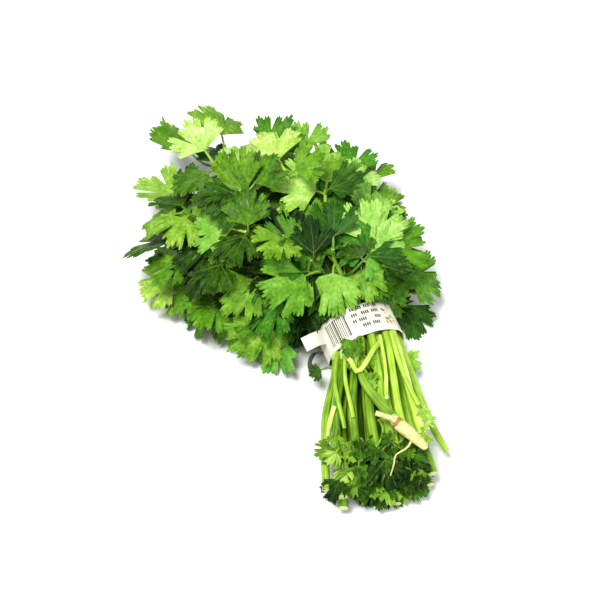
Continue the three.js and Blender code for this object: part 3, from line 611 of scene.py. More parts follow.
def dips_too_far(leaf):
    lowest = min(blade_point(leaf, tooth * TOOTH_STEP, TOOTH_RADII[abs(tooth)])[2] for tooth in TEETH)
    return lowest < -GROUND_DIP or (lowest < 0 and leaf["normal"][2] < FLATTEST_DIP)


def hides_the_band(leaf):
    for angle in VIEW_ANGLES:
        spot = blade_point(leaf, angle, 1)
        if dot(spot, BAND_ALONG) < KEPT_CLEAR_ALONG and dot(spot, BAND_ACROSS) > KEPT_CLEAR_ACROSS:
            return True
    return False


def stalk_turns_back(leaf):
    return dot(unit(minus(leaf["base"], leaf["root"])), leaf["along"]) < LEAST_STALK_AHEAD


def centre_of(leaf):
    return blade_point(leaf, 0, 0.5)


centres = [centre_of(leaf) for grown in leaves for leaf in grown]
for one_try, slot in left_out:
    best = None
    for attempt in range(TRIES):
        number, leaf = one_try(attempt)
        if dips_too_far(leaf) or stalk_turns_back(leaf) or hides_the_band(leaf):
            continue
        room = min(math.dist(centre_of(leaf), centre) for centre in centres)
        if best is None or room > best[0]:
            best = (room, number, leaf)
    if best:
        best[2]["slot"] = slot
        leaves[best[1]].append(best[2])
        centres.append(centre_of(best[2]))


def side_leaflets(leaf, item):
    pair = []
    for side in (-1, 1):
        swing, lean, *shape = draws(SIDE_LEAF, item * 2 + (side + 1) // 2, 0, 7)
        angle = math.radians(side * shifted(SIDE_LEAFLET_ANGLE, swing))
        tilt = SIDE_LEAFLET_LEAN * side + SIDE_LEAFLET_LEAN * lean
        normal = unit(plus(leaf["normal"], leaf["across"], tilt))
        root = plus(leaf["base"], leaf["along"], -SIDE_LEAFLET_BACK)
        heading = turned(leaf["along"], leaf["normal"], angle)
        base = plus(root, heading, SIDE_LEAFLET_STALK)
        made = leaf_shape(shape, root, base, heading, normal, leaf["size"] * SIDE_LEAFLET_SIZE)
        made["slot"] = leaf["slot"]
        pair.append(made)
    return pair


for number, grown in enumerate(leaves):
    for item, leaf in enumerate(list(grown)):
        if leaf["slot"] >= 3:
            grown.extend(pair for pair in side_leaflets(leaf, number * 8 + item) if not hides_the_band(pair))
print("leaflets in all", sum(map(len, leaves)))

# %% [markdown]
# ## Node helpers
# Every node tree below, for shapes and for finishes, is made with the same few helpers. One adds a node and
# fills or links its inputs, some do a sum with nodes, and one makes a group with named inputs. Two more store
# numbers on a mesh and put an object into the scene.

# %% Helpers for node trees
def is_socket(value):
    return isinstance(value, bpy.types.NodeSocket)


def tree_of(values):
    return next(value.id_data for value in values if is_socket(value))


def fill(node, inputs):
    for key, value in dict(inputs).items():
        if is_socket(value):
            node.id_data.links.new(value, node.inputs[key])
        else:
            node.inputs[key].default_value = value
    return node


def add_node(tree, kind, inputs=(), **settings):
    node = tree.nodes.new(kind)
    for name, value in settings.items():
        setattr(node, name, value)
    return fill(node, inputs)


def add_group(tree, group, inputs):
    kind = "GeometryNodeGroup" if tree.bl_idname == "GeometryNodeTree" else "ShaderNodeGroup"
    return add_node(tree, kind, inputs, node_tree=group).outputs[0]


def calc(operation, *values):
    return add_node(tree_of(values), "ShaderNodeMath", enumerate(values), operation=operation).outputs[0]


def total(first, *others):
    for other in others:
        first = calc("ADD", first, other)
    return first


def product(first, *others):
    for other in others:
        first = calc("MULTIPLY", first, other)
    return first


def difference(first, second):
    return calc("SUBTRACT", first, second)


def varied(level, noise, amount):
    return calc("MULTIPLY_ADD", difference(noise, 0.5), amount, level)


def inside(value, low, high):
    return product(calc("GREATER_THAN", value, low), calc("LESS_THAN", value, high))


def noise_at(place, scale, detail):
    inputs = {"Vector": place, "Scale": scale, "Detail": detail}
    return add_node(place.id_data, "ShaderNodeTexNoise", inputs).outputs[0]


def scaled(vector, factor):
    inputs = {0: vector, "Scale": factor}
    return add_node(vector.id_data, "ShaderNodeVectorMath", inputs, operation="SCALE").outputs["Vector"]


def split(vector):
    return add_node(vector.id_data, "ShaderNodeSeparateXYZ", {0: vector}).outputs[:3]


def joined(x, y, z):
    return add_node(tree_of([x, y, z]), "ShaderNodeCombineXYZ", {0: x, 1: y, 2: z}).outputs[0]


def new_tree(kind, name, inputs, output):
    tree = bpy.data.node_groups.new(name, kind)
    for label, value in inputs.items():
        kinds = {float: "Float", int: "Int"}
        named = value if isinstance(value, str) else kinds[type(value)]
        made = tree.interface.new_socket(label, in_out="INPUT", socket_type="NodeSocket" + named)
        if named != value:
            made.default_value = value
    tree.interface.new_socket(output, in_out="OUTPUT", socket_type=f"NodeSocket{output}")
    return tree, tree.nodes.new("NodeGroupInput").outputs, tree.nodes.new("NodeGroupOutput")


def stored(tree, name, kind="FLOAT"):
    return add_node(tree, "GeometryNodeInputNamedAttribute", {"Name": name}, data_type=kind).outputs[0]


def store(mesh, name, kind, values, domain="POINT"):
    field = "vector" if kind == "FLOAT_VECTOR" else "value"
    flat = [number for row in values for number in row] if field == "vector" else values
    mesh.attributes.new(name, kind, domain).data.foreach_set(field, flat)


def in_scene(name, data):
    thing = bpy.data.objects.new(name, data)
    bpy.context.scene.collection.objects.link(thing)
    return thing


# %% [markdown]
# ## Leaflet shapes
# A cilantro leaflet is a fan of three lobes, cut into teeth with rounded tips. One outline in angles and
# radii describes it: nine big teeth as in the solids, small bumps on each of them, and a deep cleft between
# lobes. A dozen are made with small differences. Each comes twice: as a fine one with rings inside its edge,
# which can bend smoothly, and as a plain one of a few dozen faces, for the small and hidden leaflets.

# %% Make the leaflet shapes
LEAF_SHAPES = 12
BLADE_SHARE = 0.006
SMALL_TEETH = [(-7.1, 0.88), (-6.0, 0.95), (-4.3, 0.96), (-3.0, 0.9), (-1.6, 0.985), (0, 1.0),
               (1.6, 0.985), (3.0, 0.9), (4.3, 0.96), (6.0, 0.95), (7.1, 0.88)]
SMOOTH_NOTCH, SMOOTH_CLEFT = 0.9, 0.62
CUT_NOTCH, CUT_CLEFT = 0.74, 0.32
CLEFT_SIDE = 0.5
# how much a lobe or a tooth leans and varies, and how much a notch, a cleft and a small tooth vary
LOBE_LEAN, TOOTH_LEAN, LOBE_SPREAD, TOOTH_SPREAD = 2.0, 0.8, 0.07, 0.06
NOTCH_SPREAD, CLEFT_SPREAD, SMALL_SPREAD = 0.1, 0.18, 0.025
INNER_RINGS = [0.3, 0.56, 0.78]


def leaf_outline(shape):
    wobble = draws(LEAF_EDGE, shape, 0, 60)
    cut = shape / (LEAF_SHAPES - 1)
    notch_share = SMOOTH_NOTCH + (CUT_NOTCH - SMOOTH_NOTCH) * cut
    cleft = SMOOTH_CLEFT + (CUT_CLEFT - SMOOTH_CLEFT) * cut
    lobes = [(tooth > 1) - (tooth < -1) for tooth in TEETH]
    leans = [LOBE_LEAN * wobble[lobe + 1] + TOOTH_LEAN * wobble[n + 4] for n, lobe in enumerate(lobes)]
    edge = [(-BASE_CORNER_ANGLE, BASE_CORNER_RADIUS)]
    anchors = [0]
    for place, tooth in enumerate(TEETH):
        here, lean = abs(tooth), leans[place]
        radius = TOOTH_RADII[here] * (1 + LOBE_SPREAD * wobble[lobes[place] + 14])
        radius *= 1 + TOOTH_SPREAD * wobble[place + 17]
        anchors.append(len(edge) + len(SMALL_TEETH) // 2)
        for n, (offset, share) in enumerate(SMALL_TEETH):
            beside_cleft = (here == 1 and offset * tooth > 0) or (here == 2 and offset * tooth < 0)
            ragged = 1 + SMALL_SPREAD * wobble[(place * 7 + (n + 1) // 4) % 60]
            offset *= CLEFT_SIDE if beside_cleft else 1
            edge.append((tooth * TOOTH_STEP + offset + lean, radius * share * ragged))
        if tooth < TEETH[-1]:
            following = abs(tooth + 1)
            usual = TOOTH_RADII[here] + TOOTH_RADII[following]
            notch = notch_share * (1 + NOTCH_SPREAD * wobble[place + 26]) * usual / 2
            if here + following == 3:
                notch = cleft * (1 + CLEFT_SPREAD * wobble[place + 34])
            anchors.append(len(edge))
            edge.append(((tooth + 0.5) * TOOTH_STEP + (lean + leans[place + 1]) / 2, notch))
    anchors.append(len(edge))
    edge.append((BASE_CORNER_ANGLE, BASE_CORNER_RADIUS))
    return edge, anchors


def leaf_face(edge, anchors):
    spots = [(0.0, 0.0)]
    for ring in INNER_RINGS:
        spots += [(edge[n][0], edge[n][1] * ring) for n in anchors]
    spots += edge
    count = len(anchors)
    rings = [1 + ring * count for ring in range(len(INNER_RINGS))]
    outer, first_edge = rings[-1], rings[-1] + count
    faces = []
    for n in range(count - 1):
        faces.append((0, 1 + n, 2 + n))
        for inner, following in zip(rings, rings[1:]):
            faces.append((inner + n, following + n, following + n + 1, inner + n + 1))
        start, stop = anchors[n], anchors[n + 1]
        half = (start + stop + 1) // 2
        for k in range(start, stop):
            nearest = outer + n if k < half else outer + n + 1
            faces.append((nearest, first_edge + k, first_edge + k + 1))
        faces.append((outer + n, first_edge + half, outer + n + 1))
    return spots, faces, [0, *range(first_edge, first_edge + len(edge))]


def plain_leaf_face(edge, anchors):
    spots = [(0.0, 0.0), *(edge[n] for n in anchors)]
    faces = [(0, n, n + 1) for n in range(1, len(anchors))]
    return spots, faces, list(range(len(spots)))


def leaf_mesh(number):
    face_of = leaf_face if number < LEAF_SHAPES else plain_leaf_face
    spots, faces, rim = face_of(*leaf_outline(number % LEAF_SHAPES))
    flat = [(r * math.cos(math.radians(a)), r * math.sin(math.radians(a))) for a, r in spots]
    count = len(flat)
    points = [(x, y, side * BLADE_SHARE) for side in (1, -1) for x, y in flat]
    walls = [(a, a + count, b + count, b) for a, b in zip(rim, rim[1:] + rim[:1])]
    under = [tuple(n + count for n in reversed(face)) for face in faces]
    mesh = bpy.data.meshes.new(f"leaflet_{number}")
    mesh.from_pydata(points, [], faces + under + walls)
    store(mesh, "leaf_xy", "FLOAT_VECTOR", [(x, y, 1 if z > 0 else -1) for x, y, z in points])
    store(mesh, "sharp_face", "BOOLEAN", [n >= 2 * len(faces) for n in range(len(mesh.polygons))], "FACE")
    return mesh


shapes = bpy.data.collections.new("Leaflet shapes")
for number in range(2 * LEAF_SHAPES):
    shapes.objects.link(bpy.data.objects.new(f"leaflet_{number:02d}", leaf_mesh(number)))

# %% [markdown]
# ## The tree that places leaflets
# Each leaflet starts as one point that carries its directions, size and bend. Instance on Points puts a
# flat shape there, Realize Instances makes it a mesh, and Set Position folds it along the midrib, lets it
# droop and waves its edge. What would go below the table is lifted back on to it.

# %% Geometry Nodes: place leaflets
LEAFLET_INPUTS = {"Geometry": "Geometry", "Leaflet shapes": "Collection", "Ruffle": 0.022, "Crinkle": 0.24,
                  "Crinkle scale": 190.0}
RUFFLES_ROUND = 9.0
PLEATS_ROUND = 7.5


def leaflet_tree():
    tree, given, result = new_tree(
        "GeometryNodeTree", "Place leaflets", {**LEAFLET_INPUTS, "Material": "Material"}, "Geometry")
    size, breadth, phase, crisp = [stored(tree, name) for name in ("size", "breadth", "phase", "crisp")]
    normal = stored(tree, "normal_way", "FLOAT_VECTOR")
    turn = add_node(tree, "FunctionNodeAxesToRotation", {
        "Primary Axis": normal, "Secondary Axis": stored(tree, "along_way", "FLOAT_VECTOR"),
    }, primary_axis="Z", secondary_axis="X")
    picked = add_node(tree, "GeometryNodeCollectionInfo", {
        "Collection": given["Leaflet shapes"], "Separate Children": True, "Reset Children": True})
    placed = add_node(tree, "GeometryNodeInstanceOnPoints", {
        "Points": given["Geometry"], "Instance": picked.outputs[0], "Pick Instance": True,
        "Instance Index": stored(tree, "shape", "INT"), "Rotation": turn.outputs[0],
        "Scale": joined(size, product(size, breadth), size),
    })
    real = add_node(tree, "GeometryNodeRealizeInstances", {"Geometry": placed.outputs[0]})

    x, y, side = split(stored(tree, "leaf_xy", "FLOAT_VECTOR"))
    angle = calc("ARCTAN2", y, x)
    square = total(product(x, x), product(y, y))
    radius = calc("SQRT", square)
    fold = product(calc("ABSOLUTE", y), breadth, stored(tree, "fold"))
    droop = product(x, x, stored(tree, "droop"))
    wave = product(calc("SINE", calc("MULTIPLY_ADD", angle, 3.0, phase)), stored(tree, "wave"), square)
    ruffle = calc("SINE", calc("MULTIPLY_ADD", angle, RUFFLES_ROUND, product(phase, 2.0)))
    ruffle = product(ruffle, given["Ruffle"], square, crisp)
    pleat = product(calc("COSINE", product(angle, PLEATS_ROUND)), stored(tree, "pleat"), square)
    curl = product(square, radius, stored(tree, "curl"))
    noise = noise_at(add_node(tree, "GeometryNodeInputPosition").outputs[0], given["Crinkle scale"], 2.0)
    crinkle = product(difference(noise, 0.5), given["Crinkle"], crisp, radius)
    rise = total(difference(fold, droop), total(wave, ruffle), pleat, difference(crinkle, curl))
    bent = add_node(tree, "GeometryNodeSetPosition", {
        "Geometry": real.outputs[0], "Offset": scaled(normal, product(rise, size))})

    spot = split(add_node(tree, "GeometryNodeInputPosition").outputs[0])
    thick = product(calc("MAXIMUM", side, 0.0), product(size, BLADE_SHARE))
    lifted = add_node(tree, "GeometryNodeSetPosition", {
        "Geometry": bent.outputs[0], "Position": joined(spot[0], spot[1], calc("MAXIMUM", spot[2], thick))})
    coloured = add_node(tree, "GeometryNodeSetMaterial", {
        "Geometry": lifted.outputs[0], "Material": given["Material"]})
    fill(result, {0: coloured.outputs[0]})
    return tree


# %% [markdown]
# ## The tree that sweeps stalks
# A stem, a leaf stalk or a root is a line of points with a thickness at each. The tree smooths the line,
# spaces its points evenly and sweeps a ring along it. Cilantro stems are grooved lengthwise, so every other
# corner of the ring is drawn in a little. The flat ends are marked, so that a cut can have its own colour.

# %% Geometry Nodes: sweep stalks
STALK_INPUTS = {"Geometry": "Geometry", "Sides": 14, "Groove depth": 0.1, "Step": 0.003, "Unevenness": 0.16}
UNEVEN_SCALE = 90.0
MOST_SIDE_CORNERS = 4.5


def stalk_tree():
    tree, given, result = new_tree(
        "GeometryNodeTree", "Sweep stalks", {**STALK_INPUTS, "Material": "Material"}, "Geometry")
    line = add_node(tree, "GeometryNodeMeshToCurve", {"Mesh": given["Geometry"]})
    curved = add_node(tree, "GeometryNodeCurveSplineType", {0: line.outputs[0]}, spline_type="CATMULL_ROM")
    even = add_node(tree, "GeometryNodeResampleCurve", {0: curved.outputs[0], "Length": given["Step"]},
                    mode="LENGTH")
    ring = add_node(tree, "GeometryNodeCurvePrimitiveCircle", {"Resolution": given["Sides"], "Radius": 1.0})
    odd = calc("MODULO", add_node(tree, "GeometryNodeInputIndex").outputs[0], 2.0)
    position = add_node(tree, "GeometryNodeInputPosition").outputs[0]
    inwards = difference(1.0, product(odd, given["Groove depth"]))
    grooved = add_node(tree, "GeometryNodeSetPosition", {
        "Geometry": ring.outputs[0], "Position": scaled(position, inwards)})
    marked = add_node(tree, "GeometryNodeStoreNamedAttribute", {
        "Geometry": grooved.outputs[0], "Name": "around", "Value": position,
    }, data_type="FLOAT_VECTOR", domain="POINT")
    uneven = calc("MULTIPLY_ADD", difference(noise_at(position, UNEVEN_SCALE, 1.0), 0.5),
                  given["Unevenness"], 1.0)
    swept = add_node(tree, "GeometryNodeCurveToMesh", {
        "Curve": even.outputs[0], "Profile Curve": marked.outputs[0],
        "Scale": product(stored(tree, "thickness"), uneven), "Fill Caps": True})
    corners = add_node(tree, "GeometryNodeInputMeshFaceNeighbors").outputs[0]
    ends = add_node(tree, "GeometryNodeStoreNamedAttribute", {
        "Geometry": swept.outputs[0], "Name": "cut_face",
        "Value": calc("GREATER_THAN", corners, MOST_SIDE_CORNERS)}, data_type="FLOAT", domain="FACE")
    smooth = add_node(tree, "GeometryNodeSetShadeSmooth", {
        "Geometry": ends.outputs[0], "Shade Smooth": calc("LESS_THAN", corners, MOST_SIDE_CORNERS)})
    coloured = add_node(tree, "GeometryNodeSetMaterial", {
        "Geometry": smooth.outputs[0], "Material": given["Material"]})
    fill(result, {0: coloured.outputs[0]})
    return tree


# %% Geometry Nodes: a whole leafy stem
def leafy_stem_tree():
    tree, given, result = new_tree("GeometryNodeTree", "Grow a leafy stem", {
        **LEAFLET_INPUTS, **STALK_INPUTS, "Leaf material": "Material", "Stalk material": "Material",
    }, "Geometry")
    parts = add_node(tree, "GeometryNodeSeparateGeometry", {
        "Geometry": given["Geometry"], "Selection": stored(tree, "size")}, domain="POINT")
    both = tree.nodes.new("GeometryNodeJoinGeometry")
    for group, names, share, material in (
            (stalk_tree(), STALK_INPUTS, "Inverted", "Stalk material"),
            (leaflet_tree(), LEAFLET_INPUTS, "Selection", "Leaf material")):
        values = {**{name: given[name] for name in names}, "Geometry": parts.outputs[share]}
        fill(both, {0: add_group(tree, group, {**values, "Material": given[material]})})
    real = add_node(tree, "GeometryNodeRealizeInstances", {"Geometry": both.outputs[0]})
    fill(result, {0: real.outputs[0]})
    return tree


# %% [markdown]
# ## Finishes
# All greens come from one idea: a soft mottle over the whole bunch, a tint for each leaflet and stem, and the
# lines that the plant really has. The tint also carries painted shade: darkest inside the mound and in the
# tangle, and darker on the lower stems. The mottle, the veins and the grooves are shader groups, so that each
# finish can use them with its own values.

# %% Helpers for finishes
def tone(red, green, blue):
    linear = []
    for value in (red / 255, green / 255, blue / 255):
        linear.append(value / 12.92 if value <= 0.04045 else ((value + 0.055) / 1.055) ** 2.4)
    return (*linear, 1)


def new_material(name):
    material = bpy.data.materials.new(name)
    material.use_nodes = True
    tree = material.node_tree
    return material, tree, next(node for node in tree.nodes if node.type == "BSDF_PRINCIPLED")


def own(tree, name):
    return add_node(tree, "ShaderNodeAttribute", attribute_name=name, attribute_type="GEOMETRY").outputs


def ramp(factor, stops):
    node = add_node(factor.id_data, "ShaderNodeValToRGB", {0: factor})
    elements = node.color_ramp.elements
    while len(elements) < len(stops):
        elements.new(0.5)
    for element, (place, colour) in zip(elements, stops):
        element.position = place
        element.color = tone(*colour)
    return node.outputs[0]


def clamped(value):
    return add_node(value.id_data, "ShaderNodeClamp", {0: value}).outputs[0]


def mixed(factor, first, second):
    inputs = {0: factor, 6: first, 7: second}
    return add_node(factor.id_data, "ShaderNodeMix", inputs, data_type="RGBA").outputs[2]


def bumped(surface, height, strength, distance):
    bump = add_node(surface.id_data, "ShaderNodeBump", {
        "Height": height, "Strength": strength, "Distance": distance})
    fill(surface, {"Normal": bump.outputs[0]})


# %% Shader groups: mottle, veins and streaks
def mottle_group():
    tree, given, result = new_tree("ShaderNodeTree", "Mottle", {"Scale": 100.0, "Detail": 3.0}, "Float")
    place = add_node(tree, "ShaderNodeTexCoord").outputs["Object"]
    fill(result, {0: noise_at(place, given["Scale"], given["Detail"])})
    return tree


def vein_group():
    tree, given, result = new_tree("ShaderNodeTree", "Fan of veins", {
        "Leaf place": "Vector", "Spacing": 20.0, "Width": 0.02, "Start": 0.0}, "Float")
    x, y, _ = split(given["Leaf place"])
    radius = calc("SQRT", total(product(x, x), product(y, y)))
    step = calc("RADIANS", given["Spacing"])
    turns = calc("DIVIDE", calc("ARCTAN2", y, x), step)
    off = calc("ABSOLUTE", difference(turns, calc("ROUND", turns)))
    away = product(off, step, radius)
    taper = product(given["Width"], difference(1.25, radius))
    line = clamped(difference(1.0, calc("DIVIDE", away, taper)))
    fill(result, {0: product(line, calc("GREATER_THAN", radius, given["Start"]))})
    return tree


def streak_group():
    tree, given, result = new_tree("ShaderNodeTree", "Lengthwise streaks", {
        "Around": "Vector", "Along": 0.0, "Fineness": 3.0}, "Float")
    x, y, _ = split(given["Around"])
    place = joined(x, y, product(given["Along"], 0.02))
    fill(result, {0: noise_at(place, given["Fineness"], 4.0)})
    return tree


MOTTLE, VEINS, STREAKS = mottle_group(), vein_group(), streak_group()


def mottle(tree, scale, detail):
    return add_group(tree, MOTTLE, {"Scale": scale, "Detail": detail})


# %% [markdown]
# ## The leaf finish
# Cilantro leaves go from deep green to a pale yellow green, lighter where they are young, and darkest where
# their tint is painted shade, inside the mound and in the tangle. The veins fan out from the stalk to each
# tooth. The underside is paler and duller. The blade is a little raised between the veins, which the bump
# gives.

# %% Leaf and stem finish
# the place on the tint scale, from dark to pale, and the colour there
DEEP_GREENS = [(0.0, (10, 46, 2)), (0.3, (30, 94, 10)), (0.55, (66, 138, 24)), (0.8, (116, 178, 60)),
               (1.0, (162, 208, 104))]
FRESH_GREENS = [(0.0, (18, 46, 0)), (0.3, (60, 104, 8)), (0.55, (108, 154, 28)), (0.8, (166, 200, 82)),
                (1.0, (212, 230, 148))]
STEM_GREENS = [(0.0, (44, 78, 6)), (0.3, (92, 136, 20)), (0.55, (138, 182, 40)), (0.78, (176, 214, 66)),
               (1.0, (226, 244, 126))]
VEIN_GREEN, UNDERSIDE_GREEN, CUT_GREEN = tone(176, 204, 96), tone(128, 160, 80), tone(196, 216, 126)
# spacing in degrees, width, and how far out they start
MAIN_VEINS, BRANCH_VEINS = (3.0 * TOOTH_STEP, 0.016, 0.0), (float(TOOTH_STEP), 0.009, 0.3)


def leaf_finish():
    material, tree, surface = new_material("cilantro_leaf")
    place = own(tree, "leaf_xy")["Vector"]
    veins, branches = [
        add_group(tree, VEINS, {"Leaf place": place, "Spacing": spacing, "Width": width, "Start": start})
        for spacing, width, start in (MAIN_VEINS, BRANCH_VEINS)]
    fine = mottle(tree, 560.0, 4.0)
    level = varied(own(tree, "tint")["Fac"], mottle(tree, 120.0, 4.0), 0.6)
    level = varied(level, fine, 0.5)
    green = mixed(clamped(own(tree, "hue")["Fac"]), ramp(level, DEEP_GREENS), ramp(level, FRESH_GREENS))
    lines = calc("MAXIMUM", veins, product(branches, 0.5))
    green = mixed(product(lines, 0.26), green, VEIN_GREEN)
    under = calc("LESS_THAN", split(place)[2], 0.0)
    fill(surface, {
        "Base Color": mixed(product(under, 0.45), green, UNDERSIDE_GREEN),
        "Roughness": calc("MULTIPLY_ADD", fine, 0.3, 0.34), "Specular IOR Level": 0.14})
    bumped(surface, calc("MULTIPLY_ADD", lines, -0.7, product(fine, 0.8)), 0.7, 0.0005)
    return material


def stalk_finish():
    material, tree, surface = new_material("cilantro_stem")
    streaks = add_group(tree, STREAKS, {
        "Around": own(tree, "around")["Vector"], "Along": own(tree, "along")["Fac"], "Fineness": 2.6})
    level = varied(own(tree, "tint")["Fac"], streaks, 0.9)
    level = varied(level, mottle(tree, 90.0, 2.0), 0.6)
    fill(surface, {
        "Base Color": mixed(own(tree, "cut_face")["Fac"], ramp(level, STEM_GREENS), CUT_GREEN),
        "Roughness": calc("MULTIPLY_ADD", streaks, 0.2, 0.25), "Specular IOR Level": 0.5})
    bumped(surface, streaks, 0.35, 0.0005)
    return material


LEAF, STALK = leaf_finish(), stalk_finish()

# %% [markdown]
# ## Growing the leafy stems
# Each leafy stem starts as a seed mesh: lines of points for its stem and its leaf stalks, and one loose
# point for each leaflet, with all sizes as attributes. One Geometry Nodes modifier turns the seed into the
# finished mesh, which is then kept as a plain mesh. The next steps say what goes into the seeds.

# %% Turn a seed mesh into a finished piece
def set_inputs(modifier, values):
    for item in modifier.node_group.interface.items_tree:
        if item.item_type == "SOCKET" and item.in_out == "INPUT" and item.name in values:
            modifier[item.identifier] = values[item.name]


def finished_piece(name, seed, tree, values):
    piece = in_scene(name, seed)
    modifier = piece.modifiers.new("Grow", "NODES")
    modifier.node_group = tree
    set_inputs(modifier, values)
    bpy.context.view_layer.update()
    depsgraph = bpy.context.evaluated_depsgraph_get()
    mesh = bpy.data.meshes.new_from_object(
        piece.evaluated_get(depsgraph), preserve_all_data_layers=True, depsgraph=depsgraph)
    piece.modifiers.clear()
    piece.data = mesh
    mesh.name = name
    bpy.data.meshes.remove(seed)
    return piece


LINE_VALUES = ("thickness", "tint", "along")
LEAF_VALUES = ("size", "breadth", "fold", "droop", "wave", "phase", "tint", "hue", "pleat", "curl", "crisp")


def line_of(points, radii, tint, start=0):
    return {"points": points, "radii": radii, "tint": tint, "start": start}


def seed_mesh(name, lines, leaflets):
    points, edges, rows = [], [], []
    for line in lines:
        for n, (point, thickness) in enumerate(zip(line["points"], line["radii"])):
            if n:
                edges.append((len(points) - 1, len(points)))
            gone = math.dist(line["points"][0], point)
            points.append(point)
            rows.append({"thickness": thickness * MM, "tint": line["tint"], "along": line["start"] + gone})
    for leaf in leaflets:
        points.append(leaf["base"])
        rows.append({**leaf, "size": leaf["size"] * MM})
    mesh = bpy.data.meshes.new(name)
    mesh.from_pydata([[v * MM for v in point] for point in points], edges, [])
    for key in sorted(set(LINE_VALUES + LEAF_VALUES)):
        values = [0.0 if isinstance(row.get(key), list) else float(row.get(key, 0)) for row in rows]
        store(mesh, key, "FLOAT", values)
    store(mesh, "shape", "INT", [row.get("shape", 0) for row in rows])
    for key, source in (("along_way", "along"), ("normal_way", "normal")):
        ways = [row[source] if isinstance(row.get(source), list) else [0, 0, 0] for row in rows]
        store(mesh, key, "FLOAT_VECTOR", ways)
    return mesh


# %% [markdown]
# ## Lying on the stems
# The folded stem, the root, the young stalks and some small leaflets rest on the stems. So each of their
# points is lifted until it clears the stems below it. A route is a smooth curve through a few points.

# %% Lift points on to the stems, and smooth a route
FOLDED_STEPS = 12
FOLDED_TINT = 0.8
folded_parent = nearest_place(stems, *FOLDED_PLACE)
rooted = nearest_place(stems, *ROOTED_PLACE)


def lay_on_stems(spots, radius, under):
    for spot in spots:
        for stem in under:
            line_up = zip(stem["centres"][:4], stem["centres"][1:5], stem["thickness"], stem["thickness"][1:])
            for start, end, thick, following in line_up:
                run = [end[0] - start[0], end[1] - start[1], 0]
                gap = [spot[0] - start[0], spot[1] - start[1], 0]
                below = between(start, end, limit(dot(gap, run) / dot(run, run), 0, 1))
                need = max(thick, following) + radius + STEM_GAP
                sideways = math.hypot(spot[0] - below[0], spot[1] - below[1])
                if sideways < need:
                    spot[2] = max(spot[2], below[2] + math.sqrt(need * need - sideways * sideways))


def smooth_route(points, steps):
    ends = [plus(points[0], minus(points[1], points[0]), -1), *points,
            plus(points[-1], minus(points[-2], points[-1]), -1)]
    route = []
    for step in range(steps + 1):
        place = step / steps * (len(points) - 1)
        n = min(int(place), len(points) - 2)
        t = place - n
        a, b, c, d = ends[n:n + 4]
        handles = plus(b, minus(c, a), 1 / 6), plus(c, minus(b, d), 1 / 6)
        route.append(bezier(b, *handles, c, t))
    return route


def folded_route():
    route = smooth_route(FOLDED_ROUTE, FOLDED_STEPS)
    lay_on_stems(route[2:], FOLDED_RADIUS, stems)
    return route


# %% [markdown]
# ## Small leaflets and young stalks
# Small frilled leaflets fill the tangle between the cut ends, darkened as painted shade, and a few pale bits
# and thin young stalks lie on the stems. Leaflets inside the mound fill the gaps between the outer ones, and
# their near-black tint is painted shade.

# %% Small leaflets, young stalks and filling leaflets
SMALL_LEAF, FILLING_SLOT = -2, 5
SMALL_STALK = 4
TANGLE_WARMTH, TANGLE_FRILL = 0.85, 3.2

LOW_LEAFLETS = 130
# the tangle's middle and half width, then its start and length along the bunch
LOW_ACROSS, LOW_START, LOW_REACH = (3, 18), -71, 21
# its height at the start, how much lower it ends, and how deep it is
LOW_HEIGHT, LOW_DROP, LOW_DEPTH = 34, 26, 9
LOW_HEADING, LOW_LEAN, LOW_FORWARD = (265, 80), 0.9, (-0.5, 0.9)
# the tangle's leaflets get a dark tone, which is painted shade between the cut ends
LOW_SIZE, LOW_PAINTED_SHADE_TONE = (6.2, 2), (0.16, 0.16)
# one small leaflet in so many is laid on the stems, this far above them
LAID_EVERY, LAID_ABOVE = 3, 1
LOOSE_LEAN, LOOSE_FORWARD = 0.5, (-0.4, 0.4)

# the filling leaflets are tinted near black, which is painted shade inside the mound
FILLING_PER_STEM = 6
FILLING_PLACE, FILLING_STALK, FILLING_LENGTH = (0.56, 0.28), (9, 4), (17, 4)
FILLING_TURN, FILLING_LEAN, FILLING_RISE = 80, 0.6, 6

# base, heading in degrees from +X, length and tone
LOOSE_BITS = [
    ([-13, -16, 20], 250, 9, 0.8), ([-9, -20, 20], 300, 8, 0.75), ([-4, -22, 20], 240, 9, 0.85),
    ([-1, -25, 20], 320, 7, 0.7), ([-2, -36, 20], 280, 7, 0.6), ([1, -40, 20], 230, 6, 0.8),
    ([-22, -66, 20], 255, 8, 0.65), ([-19, -71, 22], 300, 9, 0.7), ([-23, -76, 14], 235, 8, 0.75),
    ([-16, -75, 26], 280, 8, 0.6), ([-20, -82, 12], 260, 9, 0.65), ([24, -56, 18], 290, 7, 0.75),
    ([26, -62, 14], 320, 7, 0.8), ([23, -70, 10], 270, 8, 0.7), ([20, -79, 12], 290, 8, 0.65),
    ([12, -88, 8], 260, 11, 0.6), ([-6, -88, 6], 270, 11, 0.55), ([-22, -86, 5], 240, 11, 0.12),
    ([-13, -86, 10], 255, 9, 0.55), ([3, -90, 8], 275, 9, 0.6), ([19, -84, 12], 285, 9, 0.6),
]


def loose_leaflet(base, angle, lean_x, lean_y, size, shape, tone):
    heading = [math.cos(angle), math.sin(angle), 0]
    number, root = nearest_stem_point(plus(base, heading, -SMALL_STALK))
    leaf = leaf_shape(shape, root, base, heading, unit([lean_x, lean_y, 1]), size)
    leaf.update(slot=SMALL_LEAF, tone=tone, frill=TANGLE_FRILL, warmth=TANGLE_WARMTH)
    if not dips_too_far(leaf):
        leaves[number].append(leaf)


